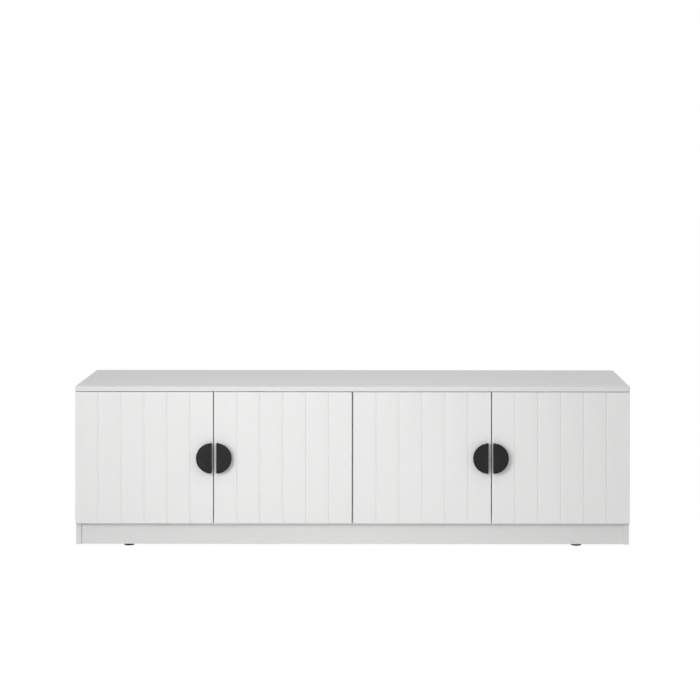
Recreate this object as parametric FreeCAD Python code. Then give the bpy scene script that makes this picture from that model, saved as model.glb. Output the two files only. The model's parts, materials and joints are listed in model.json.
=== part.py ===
import FreeCAD, Part
import os
from collections import defaultdict
from dataclasses import dataclass

# Low TV cabinet with four doors on concealed hinges, half-moon pulls, a set-back plinth and levelling
# feet. Millimetres. X runs to the right, the doors face -Y, Z is up, and the origin is the bottom centre
# of the bounding box.

V = FreeCAD.Vector
X, Y, Z = V(1, 0, 0), V(0, 1, 0), V(0, 0, 1)

# ---- Driving dimensions -------------------------------------------------------------------------
WIDTH, DEPTH, HEIGHT = 1800.0, 400.0, 525.0   # the cabinet without its handles
BOARD = 16.0                    # every white board
BACK_BOARD = 3.0                # hardboard backs
BACK_INSET = 5.0                # backs behind the top panel's rear edge
BACK_GROOVE_DEPTH = 5.0         # groove under the top panel that takes the backs' upper edge
PLINTH_HEIGHT = 69.0
PLINTH_SETBACK = 6.0            # plinth behind the side panels' front edges
TOP_CORNER_ROUND = 4.0          # the top panel's corners seen from above
EDGE_ROUND = 1.0                # arris of the top panel

DOOR_COUNT = 4
DOOR_GAP = 3.0                  # between the two doors of a pair
TOP_GAP = 2.0                   # between the doors and the top panel
CENTRE_GAP = 4.5                # between the two middle doors
DOOR_REVEAL = 0.5               # outer doors inside the cabinet's sides
DOOR_STANDOFF = 2.5             # between a door's rear face and the boards' front edges
DOOR_DROP = 3.0                 # the doors end this far above the bottom panel's underside
DOOR_ROUND = 1.2                # front arris of a door
DOOR_REAR_ROUND = 1.0
BOARDS_PER_DOOR = 6             # upright boards that the grooves suggest
GROOVE_WIDTH, GROOVE_DEPTH = 3.4, 1.7

HANDLE_RADIUS = 49.0
HANDLE_PAST_CENTRE = 1.0        # straight edge beyond the circle's centre
HANDLE_DEPTH = 18.0             # door face to the handle's front face
HANDLE_PLATE = 3.0
HANDLE_SPINE = 6.5              # foot along the straight edge that is screwed to the door
HANDLE_SPINE_HALF = 47.5        # the foot ends a little short of the plate
HANDLE_FACE_ROUND = 0.8
HANDLE_INSET_OUTER, HANDLE_INSET_INNER = 3.5, 9.0   # straight edge in from the door's edge
HANDLE_CENTRE_Z = 294.5
HANDLE_SCREW_PITCH, HANDLE_SCREW_IN_SPINE = 64.0, 8.0
HANDLE_SCREW_HEAD, HANDLE_SCREW_RADIUS = (4.0, 2.2), 1.75

SHELF_UNDER = 293.0
SHELF_SETBACK, SHELF_REAR_GAP, SHELF_SIDE_GAP = 20.0, 8.0, 1.0
CABLE_HOLE_RADIUS, CABLE_HOLE_Z = 30.0, 405.0

# Concealed hinge, in a door's own terms: w runs along the door from its hinged edge, and v runs forward
# from the boards' front edges.
HINGE_FROM_END = 80.0           # hinge centre from the door's lower and upper edge
PIVOT_W, PIVOT_BEHIND_FACE = 7.0, 5.8
PIN_RADIUS, EYE_BORE_RADIUS, EYE_RADIUS = 1.3, 1.35, 2.1
CUP_RADIUS, CUP_BORE_RADIUS, CUP_VOID_RADIUS = 17.5, 17.55, 16.5
CUP_RIM_FROM_EDGE = 3.0
CUP_DEPTH, CUP_FLOOR = 13.0, 0.4
CUP_BOSS_W, CUP_SLOT_HALF = 11.0, 4.7
CUP_SCREW_Z, CUP_SCREW_OFFSET = 24.0, 6.0
CUP_SCREW_HEAD, CUP_SCREW_RADIUS, CUP_SCREW_LENGTH = (3.5, 1.8), 1.7, 11.0
PIN_HALF_LENGTH = 9.3
FLANGE, FLANGE_EAR = 1.0, 13.0
ARM_HALF_WIDTH, ARM_THICKNESS, ARM_BACK_W = 4.2, 2.2, 18.2
ARM_NECK = 3.0
CHANNEL_HALF_WIDTH, CHANNEL_HEIGHT, CHANNEL_WALL = 8.0, 6.0, 1.5
CHANNEL_V, CHANNEL_WEB = (-62.0, -6.0), 4.0     # the channel's run, and its closed front end
ARM_SCREW_LINES = (-52.0, -24.0)
ARM_SCREW_HEAD, ARM_SCREW_RADIUS = (3.4, 1.6), 2.0
PLATE_THICKNESS, PLATE_LINE, PLATE_SCREW_Z = 2.7, 37.0, 16.0
PLATE_V, PLATE_WING_HALF_V, PLATE_WING_HALF_Z = (-66.0, -14.0), 7.0, 23.0
PLATE_SCREW_HEAD, PLATE_SCREW_RADIUS = (4.2, 1.5), 3.0
SCREW_DEPTH_SIDE, SCREW_DEPTH_DIVIDER = 11.0, 7.0   # plate screws' room in a side and in the divider
BUMPER_RADIUS, BUMPER_FROM_GAP, BUMPER_CLEARANCE = 4.0, 30.0, 0.4

# Levelling feet
FOOT_X = 731.0
FOOT_LIFT = 8.0                 # floor to the underside of the side panels
FOOT_BEHIND_BOARD = 10.0        # stem axis behind the plinth board's inner face
PAD_RADIUS, PAD_THICKNESS = 17.5, 7.0
PAD_ROUND, PAD_FLOOR = 1.5, 2.5
STEM_RADIUS, STEM_BORE_RADIUS, STEM_BOTTOM, STEM_TOP = 3.95, 4.0, 2.8, 66.0
COLLAR_ABOVE_PAD, COLLAR_HEIGHT, COLLAR_CORNER_RADIUS = 0.3, 4.0, 6.5
BRACKET_HALF_WIDTH, BRACKET_REACH, BRACKET_Z, BRACKET_ROUND = 15.0, 20.0, (12.0, 44.0), 2.0
BRACKET_SCREW_X, BRACKET_SCREW_Z = 10.5, 28.0
BRACKET_SCREW_HEAD, BRACKET_SCREW_RADIUS, BRACKET_SCREW_LENGTH = (3.5, 2.0), 1.75, 31.0

# Furniture fixings
CAM_RADIUS, CAM_DEPTH, CAM_FROM_EDGE, CAM_POCKET_RADIUS = 7.4, 12.0, 24.0, 3.7
CROSS_REACH, CROSS_HALF_WIDTH, CROSS_DEPTH = 4.0, 0.75, 2.0
BOLT_HEAD_RADIUS, BOLT_HEAD_HEIGHT = 3.2, 2.4
BOLT_NECK_RADIUS, BOLT_NECK_LENGTH = 1.8, 7.0
BOLT_SHANK_RADIUS, BOLT_THREAD_RADIUS, BOLT_THREAD_LENGTH = 3.4, 2.9, 11.0
DOWEL_RADIUS, DOWEL_SHORT, DOWEL_LONG = 4.0, 10.0, 20.0
PLINTH_DOWEL_DZ, PLINTH_DOWEL_X = (-16.0, 16.0), (300.0, 600.0)
DIVIDER_SCREW_HEAD_RADIUS, DIVIDER_SCREW_RADIUS = 4.8, 2.5
DIVIDER_SCREW_CONE, DIVIDER_SCREW_LENGTH, DIVIDER_SCREW_SUNK = 3.5, 49.0, 0.3
NAIL_HEAD, NAIL_RADIUS, NAIL_LENGTH = (2.0, 0.8), 0.8, 18.0
NAIL_HEIGHTS, NAIL_X = range(120, 500, 90), range(60, 870, 110)
SHELF_PIN_RADIUS, SHELF_PIN_IN, SHELF_PIN_OUT, SHELF_STEP = 2.5, 7.0, 8.0, 32.0
SLACK = 0.1                     # radial room round a fixing in its hole

# ---- Places worked out from them ----------------------------------------------------------------
FRONT = -(DEPTH - HANDLE_DEPTH) / 2           # door faces and the top panel's front edge
BACK = FRONT + DEPTH
DOOR_REAR = FRONT + BOARD
CARCASS_FRONT = DOOR_REAR + DOOR_STANDOFF
CARCASS_BACK = BACK - BACK_INSET - BACK_BOARD
HALF = WIDTH / 2
SIDE_IN = HALF - BOARD
DIVIDER_HALF = BOARD / 2
TOP_UNDER = HEIGHT - BOARD
BASE_Z = FOOT_LIFT + PLINTH_HEIGHT            # underside of the bottom panel
BAY_FLOOR = BASE_Z + BOARD
DOOR_BOTTOM, DOOR_TOP = BASE_Z + DOOR_DROP, TOP_UNDER - TOP_GAP
DOOR_WIDTH = (WIDTH - 2 * DOOR_REVEAL - 2 * DOOR_GAP - CENTRE_GAP) / DOOR_COUNT
DOOR_LEFTS = (-HALF + DOOR_REVEAL, -CENTRE_GAP / 2 - DOOR_WIDTH, CENTRE_GAP / 2,
              HALF - DOOR_REVEAL - DOOR_WIDTH)
HINGE_HEIGHTS = (DOOR_BOTTOM + HINGE_FROM_END, DOOR_TOP - HINGE_FROM_END)
DOOR_FACE_V = DOOR_STANDOFF + BOARD
PIVOT_V = DOOR_FACE_V - PIVOT_BEHIND_FACE
CUP_W = CUP_RIM_FROM_EDGE + CUP_RADIUS
PLINTH_FRONT = CARCASS_FRONT + PLINTH_SETBACK
PLINTH_INNER = PLINTH_FRONT + BOARD
REAR_PLINTH_INNER = CARCASS_BACK - BOARD
CAM_LINES = (CARCASS_FRONT + 50.0, CARCASS_BACK - 55.0)
DOWEL_LINES = (CARCASS_FRONT + 110.0, CARCASS_BACK - 105.0)
SHELF_PIN_LINES = (CARCASS_FRONT + PLATE_LINE, CARCASS_BACK - 60.0)

HOLES = defaultdict(list)       # board name -> shapes to cut out of it


def block(x0, x1, y0, y1, z0, z1):
    """Box between two corners, given in either order."""
    low = V(min(x0, x1), min(y0, y1), min(z0, z1))
    return Part.makeBox(abs(x1 - x0), abs(y1 - y0), abs(z1 - z0), low)


def rod(radius, start, direction, length):
    """Cylinder from a point along a direction."""
    return Part.makeCylinder(radius, length, start, direction)


def fuse(shapes):
    """One solid from several that touch or overlap."""
    return shapes[0].multiFuse(shapes[1:]).removeSplitter()


def drill(board, cutter):
    """Remember a hole for a board that is made later."""
    HOLES[board].append(cutter)


def with_holes(board, shape):
    """The board's shape with every hole that the fixings asked for."""
    return shape.cut(HOLES[board]) if HOLES[board] else shape


def export(node, shape):
    """Write one node, which is one solid or a group of separate solids."""
    if isinstance(shape, list):
        shape = Part.makeCompound(shape)
    shape.exportStep(f"parts/{node}.step")
    print(f"{node}: {len(shape.Solids)} solids, {shape.Volume / 1000:.1f} cm3, valid {shape.isValid()}")


# ---- Furniture fixings: each call returns the solid and drills the boards that it joins ---------
def cam_lock(face_point, inward, towards, board):
    """Round cam let into a board's face, with a pocket for its bolt and a cross recess."""
    pocket = rod(CAM_POCKET_RADIUS, face_point + inward * (BOARD / 2), towards, CAM_RADIUS + 1)
    head_room = rod(CAM_POCKET_RADIUS, face_point + inward * (BOARD / 2 - BOLT_HEAD_RADIUS - 0.3), inward,
                    2 * BOLT_HEAD_RADIUS + 0.6)
    cam = rod(CAM_RADIUS, face_point, inward, CAM_DEPTH).cut([pocket, head_room])
    across = inward.cross(towards)
    for arm in (towards, across):
        other = across if arm is towards else towards
        corners = [face_point + arm * (a * CROSS_REACH) + other * (b * CROSS_HALF_WIDTH) - inward
                   for a, b in ((-1, -1), (1, -1), (1, 1), (-1, 1))]
        cam = cam.cut(Part.Face(Part.makePolygon(corners + corners[:1])).extrude(inward * (CROSS_DEPTH + 1)))
    drill(board, rod(CAM_RADIUS + SLACK, face_point, inward, CAM_DEPTH + SLACK))
    return cam


def cam_bolt(cam_centre, towards, cam_board, far_board):
    """Bolt whose head sits in the cam and whose thread goes into the board that it pulls tight."""
    head = rod(BOLT_HEAD_RADIUS, cam_centre, towards, BOLT_HEAD_HEIGHT)
    neck = rod(BOLT_NECK_RADIUS, cam_centre, towards, BOLT_NECK_LENGTH)
    shank = rod(BOLT_SHANK_RADIUS, cam_centre + towards * BOLT_NECK_LENGTH, towards,
                CAM_FROM_EDGE - BOLT_NECK_LENGTH)
    thread = rod(BOLT_THREAD_RADIUS, cam_centre + towards * (CAM_FROM_EDGE - 1), towards,
                 BOLT_THREAD_LENGTH + 1)
    drill(cam_board, rod(BOLT_SHANK_RADIUS + SLACK, cam_centre, towards, CAM_FROM_EDGE + 1))
    drill(far_board, rod(BOLT_THREAD_RADIUS + SLACK, cam_centre + towards * (CAM_FROM_EDGE - 1), towards,
                         BOLT_THREAD_LENGTH + 1.5))
    return fuse([head, neck, shank, thread])


def cam_and_bolt(face_point, inward, towards, cam_board, far_board):
    """A cam lock and its bolt, as a pair."""
    cam = cam_lock(face_point, inward, towards, cam_board)
    bolt = cam_bolt(face_point + inward * (BOARD / 2), towards, cam_board, far_board)
    return cam, bolt


def dowel(joint_point, direction, near_board, far_board):
    """Grooveless dowel across a joint: its long end in the near board, its short end in the far one."""
    start = joint_point - direction * DOWEL_LONG
    length = DOWEL_LONG + DOWEL_SHORT
    room = rod(DOWEL_RADIUS + SLACK, start - direction * 0.5, direction, length + 1)
    drill(near_board, room)
    drill(far_board, room)
    return rod(DOWEL_RADIUS, start, direction, length)


def screw(head_point, direction, head, shank, length, boards):
    """Pan-head screw: head is (radius, height), and the shank runs from the head's seat."""
    shaft = rod(shank, head_point, direction, length)
    for board in boards:
        drill(board, rod(shank + SLACK / 2, head_point, direction, length + 0.5))
    return fuse([rod(head[0], head_point - direction * head[1], direction, head[1]), shaft])


def make_board_fixings():
    """Cams, bolts and dowels at every board-to-board joint of the carcass."""
    pairs, dowels = [], []
    uprights = {"left_side_panel": (-SIDE_IN, -X, -HALF + BOARD / 2),
                "right_side_panel": (SIDE_IN, X, HALF - BOARD / 2),
                "centre_divider": (-DIVIDER_HALF, X, 0.0)}
    for name, (face_x, inward, mid_x) in uprights.items():
        for y in CAM_LINES:
            cam_face = V(face_x, y, TOP_UNDER - CAM_FROM_EDGE)
            pairs.append(cam_and_bolt(cam_face, inward, Z, name, "top_panel"))
        for y in DOWEL_LINES:
            dowels.append(dowel(V(mid_x, y, TOP_UNDER), Z, name, "top_panel"))
    plinth_mid, rear_mid = PLINTH_FRONT + BOARD / 2, CARCASS_BACK - BOARD / 2
    for sign, side in ((-1, "left_side_panel"), (1, "right_side_panel")):
        out, end = X * sign, sign * SIDE_IN
        cam_x = end - sign * CAM_FROM_EDGE
        for y in CAM_LINES:
            pairs.append(cam_and_bolt(V(cam_x, y, BASE_Z), Z, out, "bottom_panel", side))
        for y in DOWEL_LINES:
            dowels.append(dowel(V(end, y, BASE_Z + BOARD / 2), out, "bottom_panel", side))
        mid_z = FOOT_LIFT + PLINTH_HEIGHT / 2
        pairs.append(cam_and_bolt(V(cam_x, PLINTH_INNER, mid_z), -Y, out, "plinth_board", side))
        pairs.append(cam_and_bolt(V(cam_x, REAR_PLINTH_INNER, mid_z), Y, out, "rear_plinth_board", side))
        for dz in PLINTH_DOWEL_DZ:
            dowels.append(dowel(V(end, plinth_mid, mid_z + dz), out, "plinth_board", side))
            dowels.append(dowel(V(end, rear_mid, mid_z + dz), out, "rear_plinth_board", side))
            brace_end = V(0, PLINTH_INNER if sign < 0 else REAR_PLINTH_INNER, mid_z + dz)
            outer = "plinth_board" if sign < 0 else "rear_plinth_board"
            dowels.append(dowel(brace_end, Y * sign, "plinth_brace", outer))
        for x in PLINTH_DOWEL_X:
            dowels.append(dowel(V(sign * x, plinth_mid, BASE_Z), Z, "plinth_board", "bottom_panel"))
    return [cam for cam, _ in pairs], [bolt for _, bolt in pairs], dowels


def make_divider_screws():
    """Countersunk screws up through the bottom panel into the divider's lower edge."""
    screws = []
    for y in (CAM_LINES[0], (CARCASS_FRONT + CARCASS_BACK) / 2, CAM_LINES[1]):
        base = V(0, y, BASE_Z)
        seat = base + Z * DIVIDER_SCREW_SUNK
        cone = Part.makeCone(DIVIDER_SCREW_HEAD_RADIUS, DIVIDER_SCREW_RADIUS, DIVIDER_SCREW_CONE, seat, Z)
        screws.append(fuse([cone, rod(DIVIDER_SCREW_RADIUS, seat, Z, DIVIDER_SCREW_LENGTH)]))
        bore = DIVIDER_SCREW_RADIUS + SLACK
        drill("bottom_panel", Part.makeCone(DIVIDER_SCREW_HEAD_RADIUS + 3 * SLACK, bore,
                                            DIVIDER_SCREW_CONE + DIVIDER_SCREW_SUNK, base, Z))
        drill("bottom_panel", rod(bore, base, Z, BOARD + 1))
        drill("centre_divider", rod(bore, base, Z, DIVIDER_SCREW_LENGTH + 1))
    return screws


def make_shelf_pins():
    """Four pins under each shelf, and three holes for each pin so that the shelf can move."""
    pins = []
    faces = ((-SIDE_IN, X, "left_side_panel"), (-DIVIDER_HALF, -X, "centre_divider"),
             (DIVIDER_HALF, X, "centre_divider"), (SIDE_IN, -X, "right_side_panel"))
    for face_x, out, board in faces:
        for y in SHELF_PIN_LINES:
            for step in (-SHELF_STEP, 0.0, SHELF_STEP):
                seat = V(face_x, y, SHELF_UNDER - SHELF_PIN_RADIUS + step)
                drill(board, rod(SHELF_PIN_RADIUS + SLACK / 2, seat - out * (SHELF_PIN_IN + 0.5), out,
                                 SHELF_PIN_IN + 2.0))
            seat = V(face_x, y, SHELF_UNDER - SHELF_PIN_RADIUS)
            pins.append(rod(SHELF_PIN_RADIUS, seat - out * SHELF_PIN_IN, out, SHELF_PIN_IN + SHELF_PIN_OUT))
    return pins


def make_back_nails():
    """Nails through the backs' edges into the sides, the divider and the bottom panel."""
    nails = []
    rear = CARCASS_BACK + BACK_BOARD
    side_x, divider_x, bottom_z = HALF - BOARD / 2, DIVIDER_HALF / 2, BASE_Z + BOARD / 2
    for sign, back in ((-1, "back_panel_left"), (1, "back_panel_right")):
        side = "left_side_panel" if sign < 0 else "right_side_panel"
        spots = [(side_x, z, side) for z in NAIL_HEIGHTS]
        spots += [(divider_x, z, "centre_divider") for z in NAIL_HEIGHTS]
        spots += [(x, bottom_z, "bottom_panel") for x in NAIL_X]
        for x, z, board in spots:
            spot = V(sign * x, rear, z)
            nails.append(screw(spot, -Y, NAIL_HEAD, NAIL_RADIUS, NAIL_LENGTH, (back, board)))
    return nails


# ---- Boards -------------------------------------------------------------------------------------
def make_top_panel():
    """Top board: rounded corners, softened arris, and a groove under it for the backs."""
    board = block(-HALF, HALF, FRONT, BACK, TOP_UNDER, HEIGHT)
    uprights = [e for e in board.Edges if abs(e.Vertexes[0].Z - e.Vertexes[1].Z) > 1]
    board = board.makeFillet(TOP_CORNER_ROUND, uprights)
    rims = [e for e in board.Edges if e.BoundBox.ZLength < 0.01]
    board = board.makeFillet(EDGE_ROUND, rims)
    groove = block(-SIDE_IN - BOARD + 0.5, SIDE_IN + BOARD - 0.5, CARCASS_BACK - SLACK,
                   CARCASS_BACK + BACK_BOARD + SLACK, TOP_UNDER - 1, TOP_UNDER + BACK_GROOVE_DEPTH)
    return with_holes("top_panel", board.cut(groove))


def make_back_panel(sign):
    """One thin back with its cable hole."""
    x0, x1 = sign * 0.5, sign * (HALF - 1.0)
    board = block(x0, x1, CARCASS_BACK, CARCASS_BACK + BACK_BOARD, DOOR_BOTTOM,
                  TOP_UNDER + BACK_GROOVE_DEPTH - 0.5)
    hole_x = sign * (SIDE_IN + DIVIDER_HALF) / 2
    hole = rod(CABLE_HOLE_RADIUS, V(hole_x, CARCASS_BACK - 1, CABLE_HOLE_Z), Y, BACK_BOARD + 2)
    return with_holes("back_panel_left" if sign < 0 else "back_panel_right", board.cut(hole))


def make_shelf(sign):
    """Loose shelf that lies on its pins."""
    x0, x1 = sign * (DIVIDER_HALF + SHELF_SIDE_GAP), sign * (SIDE_IN - SHELF_SIDE_GAP)
    return block(x0, x1, CARCASS_FRONT + SHELF_SETBACK, CARCASS_BACK - SHELF_REAR_GAP,
                 SHELF_UNDER, SHELF_UNDER + BOARD)


def make_boards():
    """Every fixed board of the carcass, by node name."""
    front, back = CARCASS_FRONT, CARCASS_BACK
    inner_z = (FOOT_LIFT, BASE_Z)
    plain = {
        "left_side_panel": block(-HALF, -SIDE_IN, front, back, FOOT_LIFT, TOP_UNDER),
        "right_side_panel": block(SIDE_IN, HALF, front, back, FOOT_LIFT, TOP_UNDER),
        "centre_divider": block(-DIVIDER_HALF, DIVIDER_HALF, front, back, BAY_FLOOR, TOP_UNDER),
        "bottom_panel": block(-SIDE_IN, SIDE_IN, front, back, BASE_Z, BAY_FLOOR),
        "plinth_board": block(-SIDE_IN, SIDE_IN, PLINTH_FRONT, PLINTH_INNER, *inner_z),
        "rear_plinth_board": block(-SIDE_IN, SIDE_IN, REAR_PLINTH_INNER, back, *inner_z),
        "plinth_brace": block(-DIVIDER_HALF, DIVIDER_HALF, PLINTH_INNER, REAR_PLINTH_INNER, *inner_z),
    }
    boards = {name: with_holes(name, shape) for name, shape in plain.items()}
    boards["top_panel"] = make_top_panel()
    boards["back_panel_left"], boards["back_panel_right"] = make_back_panel(-1), make_back_panel(1)
    boards["shelf_left"], boards["shelf_right"] = make_shelf(-1), make_shelf(1)
    return boards


# ---- Doors and hinges ---------------------------------------------------------------------------
@dataclass
class Door:
    """One door: number, x of its left edge, whether it hangs on its left edge, and what it hangs on."""

    number: int
    left: float
    hinged_left: bool
    mount_board: str
    mount_w: float              # mounting face, from the hinged edge
    screw_depth: float          # room for the mounting plate's screws in that board

    def point(self, w, v, z):
        """Hinge coordinates to the cabinet's own."""
        x = self.left + w if self.hinged_left else self.left + DOOR_WIDTH - w
        return V(x, CARCASS_FRONT - v, z)

    def box(self, w, v, z):
        """Box from three (low, high) pairs in hinge coordinates."""
        a, b = self.point(w[0], v[0], z[0]), self.point(w[1], v[1], z[1])
        return block(a.x, b.x, a.y, b.y, a.z, b.z)

    @property
    def across(self):
        """Direction of +w."""
        return X if self.hinged_left else -X

    @property
    def panel_name(self):
        """Node name of the door panel, which fixings drill."""
        return f"door_{self.number}_panel"


def make_doors():
    """The four doors: the outer ones hang on the sides, the middle ones on the divider."""
    side_w = BOARD - DOOR_REVEAL
    divider_w = DIVIDER_HALF - CENTRE_GAP / 2
    doors = []
    for index in range(DOOR_COUNT):
        outer = index in (0, DOOR_COUNT - 1)
        side = "left_side_panel" if index == 0 else "right_side_panel"
        doors.append(Door(number=index + 1,
                          left=DOOR_LEFTS[index],
                          hinged_left=index % 2 == 0,
                          mount_board=side if outer else "centre_divider",
                          mount_w=side_w if outer else divider_w,
                          screw_depth=SCREW_DEPTH_SIDE if outer else SCREW_DEPTH_DIVIDER))
    return doors


def door_section(door):
    """Door panel cut across: rounded arrises and a V-groove between each two boards."""
    pitch = DOOR_WIDTH / BOARDS_PER_DOOR
    x0, x1 = door.left, door.left + DOOR_WIDTH
    r, q = DOOR_ROUND, DOOR_REAR_ROUND
    k = 1 - 0.5 ** 0.5

    edges = []
    spot = V(x0 + r, FRONT, 0)
    for n in range(1, BOARDS_PER_DOOR):
        centre = x0 + n * pitch
        for x, y in ((centre - GROOVE_WIDTH / 2, FRONT), (centre, FRONT + GROOVE_DEPTH),
                     (centre + GROOVE_WIDTH / 2, FRONT)):
            edges.append(Part.LineSegment(spot, V(x, y, 0)).toShape())
            spot = V(x, y, 0)
    corners = (((x1 - r, FRONT), (x1 - r * k, FRONT + r * k), (x1, FRONT + r)),
               ((x1, DOOR_REAR - q), (x1 - q * k, DOOR_REAR - q * k), (x1 - q, DOOR_REAR)),
               ((x0 + q, DOOR_REAR), (x0 + q * k, DOOR_REAR - q * k), (x0, DOOR_REAR - q)),
               ((x0, FRONT + r), (x0 + r * k, FRONT + r * k), (x0 + r, FRONT)))
    for start, middle, end in corners:
        edges.append(Part.LineSegment(spot, V(*start, 0)).toShape())
        edges.append(Part.Arc(V(*start, 0), V(*middle, 0), V(*end, 0)).toShape())
        spot = V(*end, 0)
    return Part.Face(Part.Wire(edges))


def make_door_panel(door):
    """Grooved door panel with its cup bores and screw holes."""
    panel = door_section(door).extrude(Z * (DOOR_TOP - DOOR_BOTTOM))
    panel.translate(Z * DOOR_BOTTOM)
    profile = block(door.left - 1, door.left + DOOR_WIDTH + 1, FRONT, DOOR_REAR, DOOR_BOTTOM, DOOR_TOP)
    arrises = [e for e in profile.Edges if e.BoundBox.XLength > 1 and abs(e.Vertexes[0].Y - FRONT) < 0.01]
    panel = panel.common(profile.makeFillet(DOOR_ROUND, arrises))
    return with_holes(door.panel_name, panel)


def handle_edge(door):
    """x of the handle's straight edge, and the direction from it to the handle's arc."""
    inset = HANDLE_INSET_OUTER if door.number in (1, DOOR_COUNT) else HANDLE_INSET_INNER
    if door.hinged_left:
        return door.left + DOOR_WIDTH - inset, -1
    return door.left + inset, 1


def make_handle(door):
    """Half-moon pull: a flat plate carried by a spine along its straight edge."""
    edge, sign = handle_edge(door)
    centre = V(edge + sign * HANDLE_PAST_CENTRE, FRONT - HANDLE_DEPTH, HANDLE_CENTRE_Z)
    disc = rod(HANDLE_RADIUS, centre, Y, HANDLE_DEPTH)
    height = (HANDLE_CENTRE_Z - HANDLE_RADIUS, HANDLE_CENTRE_Z + HANDLE_RADIUS)
    plate_back = FRONT - HANDLE_DEPTH + HANDLE_PLATE
    plate = disc.common(block(edge, edge + sign * 2 * HANDLE_RADIUS, centre.y, plate_back, *height))
    spine = disc.common(block(edge, edge + sign * HANDLE_SPINE, centre.y, FRONT,
                              HANDLE_CENTRE_Z - HANDLE_SPINE_HALF, HANDLE_CENTRE_Z + HANDLE_SPINE_HALF))
    handle = fuse([plate, spine])
    face_edges = [e for e in handle.Edges
                  if e.BoundBox.YLength < 0.01 and abs(e.BoundBox.YMin - centre.y) < 0.01]
    handle = handle.makeFillet(HANDLE_FACE_ROUND, face_edges)
    return with_holes(f"door_{door.number}_handle", handle)


def make_handle_screws(door):
    """Two machine screws from inside the door into the handle's spine."""
    edge, sign = handle_edge(door)
    x = edge + sign * HANDLE_SPINE / 2
    boards = (door.panel_name, f"door_{door.number}_handle")
    return [screw(V(x, DOOR_REAR, HANDLE_CENTRE_Z + dz), -Y, HANDLE_SCREW_HEAD, HANDLE_SCREW_RADIUS,
                  BOARD + HANDLE_SCREW_IN_SPINE, boards)
            for dz in (-HANDLE_SCREW_PITCH / 2, HANDLE_SCREW_PITCH / 2)]


def make_hinge_cup(door, z):
    """Pressed cup let into the door, with bosses for the pin and a flange with two ears."""
    mouth = door.point(CUP_W, DOOR_STANDOFF, z)
    drill(door.panel_name, rod(CUP_BORE_RADIUS, mouth, -Y, CUP_DEPTH + SLACK))
    flange_v = (DOOR_STANDOFF - FLANGE, DOOR_STANDOFF)
    rim = rod(CUP_RADIUS + 2, mouth + Y * FLANGE, -Y, FLANGE)
    rim = rim.common(door.box((10.0, CUP_W + 20), flange_v, (z - 20, z + 20)))
    ear = door.box((CUP_W - 1, CUP_W + FLANGE_EAR), flange_v, (z - CUP_SCREW_Z - 6, z + CUP_SCREW_Z + 6))
    cup = fuse([rod(CUP_RADIUS, mouth, -Y, CUP_DEPTH), rim, ear])
    void = rod(CUP_VOID_RADIUS, mouth + Y * 2, -Y, CUP_DEPTH - CUP_FLOOR + 2)
    all_v, all_z = (-5.0, DOOR_FACE_V), (z - 20, z + 20)
    room = fuse([door.box((CUP_BOSS_W, CUP_W + 20), all_v, all_z),
                 door.box((0.0, CUP_W), all_v, (z - CUP_SLOT_HALF, z + CUP_SLOT_HALF))])
    pin_hole = rod(EYE_BORE_RADIUS, door.point(PIVOT_W, PIVOT_V, z - 12), Z, 24.0)
    cuts = [void.common(room), pin_hole]
    for dz in (-CUP_SCREW_Z, CUP_SCREW_Z):
        cuts.append(rod(1.75, door.point(CUP_W + CUP_SCREW_OFFSET, DOOR_STANDOFF + 1, z + dz), Y, 5.0))
    return cup.cut(cuts)


def make_cup_screws(door, z):
    """Two wood screws through the cup's ears into the door."""
    return [screw(door.point(CUP_W + CUP_SCREW_OFFSET, DOOR_STANDOFF - FLANGE, z + dz), -Y,
                  CUP_SCREW_HEAD, CUP_SCREW_RADIUS, CUP_SCREW_LENGTH, (door.panel_name,))
            for dz in (-CUP_SCREW_Z, CUP_SCREW_Z)]


def make_hinge_pin(door, z):
    """Pin that is fast in the cup's bosses and runs in the arm's eye."""
    return rod(PIN_RADIUS, door.point(PIVOT_W, PIVOT_V, z - PIN_HALF_LENGTH), Z, 2 * PIN_HALF_LENGTH)


def make_hinge_arm(door, z):
    """Gooseneck arm: eye round the pin, neck out of the cup, and a channel along the mounting plate."""
    base_w = door.mount_w + PLATE_THICKNESS
    neck_out = ARM_BACK_W + ARM_NECK
    narrow = (z - ARM_HALF_WIDTH, z + ARM_HALF_WIDTH)
    wide = (z - CHANNEL_HALF_WIDTH, z + CHANNEL_HALF_WIDTH)
    leg_v = (PIVOT_V - ARM_THICKNESS / 2, PIVOT_V + ARM_THICKNESS / 2)
    channel_top = base_w + CHANNEL_HEIGHT
    web_v = (CHANNEL_V[1] - CHANNEL_WEB, CHANNEL_V[1])
    channel = door.box((base_w, channel_top), CHANNEL_V, wide)
    inner = (z - CHANNEL_HALF_WIDTH + CHANNEL_WALL, z + CHANNEL_HALF_WIDTH - CHANNEL_WALL)
    hollow = door.box((base_w - 1, channel_top - CHANNEL_WALL), (CHANNEL_V[0] - 1, web_v[0]), inner)
    arm = fuse([rod(EYE_RADIUS, door.point(PIVOT_W, PIVOT_V, narrow[0]), Z, 2 * ARM_HALF_WIDTH),
                door.box((PIVOT_W, neck_out), leg_v, narrow),
                door.box((ARM_BACK_W, neck_out), (web_v[0], leg_v[1]), narrow),
                door.box((base_w, neck_out), web_v, narrow),
                channel.cut(hollow)])
    cuts = [rod(EYE_BORE_RADIUS, door.point(PIVOT_W, PIVOT_V, z - 6), Z, 12.0)]
    for v in ARM_SCREW_LINES:
        cuts.append(rod(ARM_SCREW_RADIUS + SLACK, door.point(base_w, v, z), door.across, 10.0))
    return arm.cut(cuts)


def make_arm_screws(door, z):
    """Fixing and adjusting screws that hold the arm's channel to the mounting plate."""
    seat_w = door.mount_w + PLATE_THICKNESS + CHANNEL_HEIGHT
    return [screw(door.point(seat_w, v, z), -door.across, ARM_SCREW_HEAD, ARM_SCREW_RADIUS,
                  CHANNEL_HEIGHT + PLATE_THICKNESS - 0.3, ()) for v in ARM_SCREW_LINES]


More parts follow.
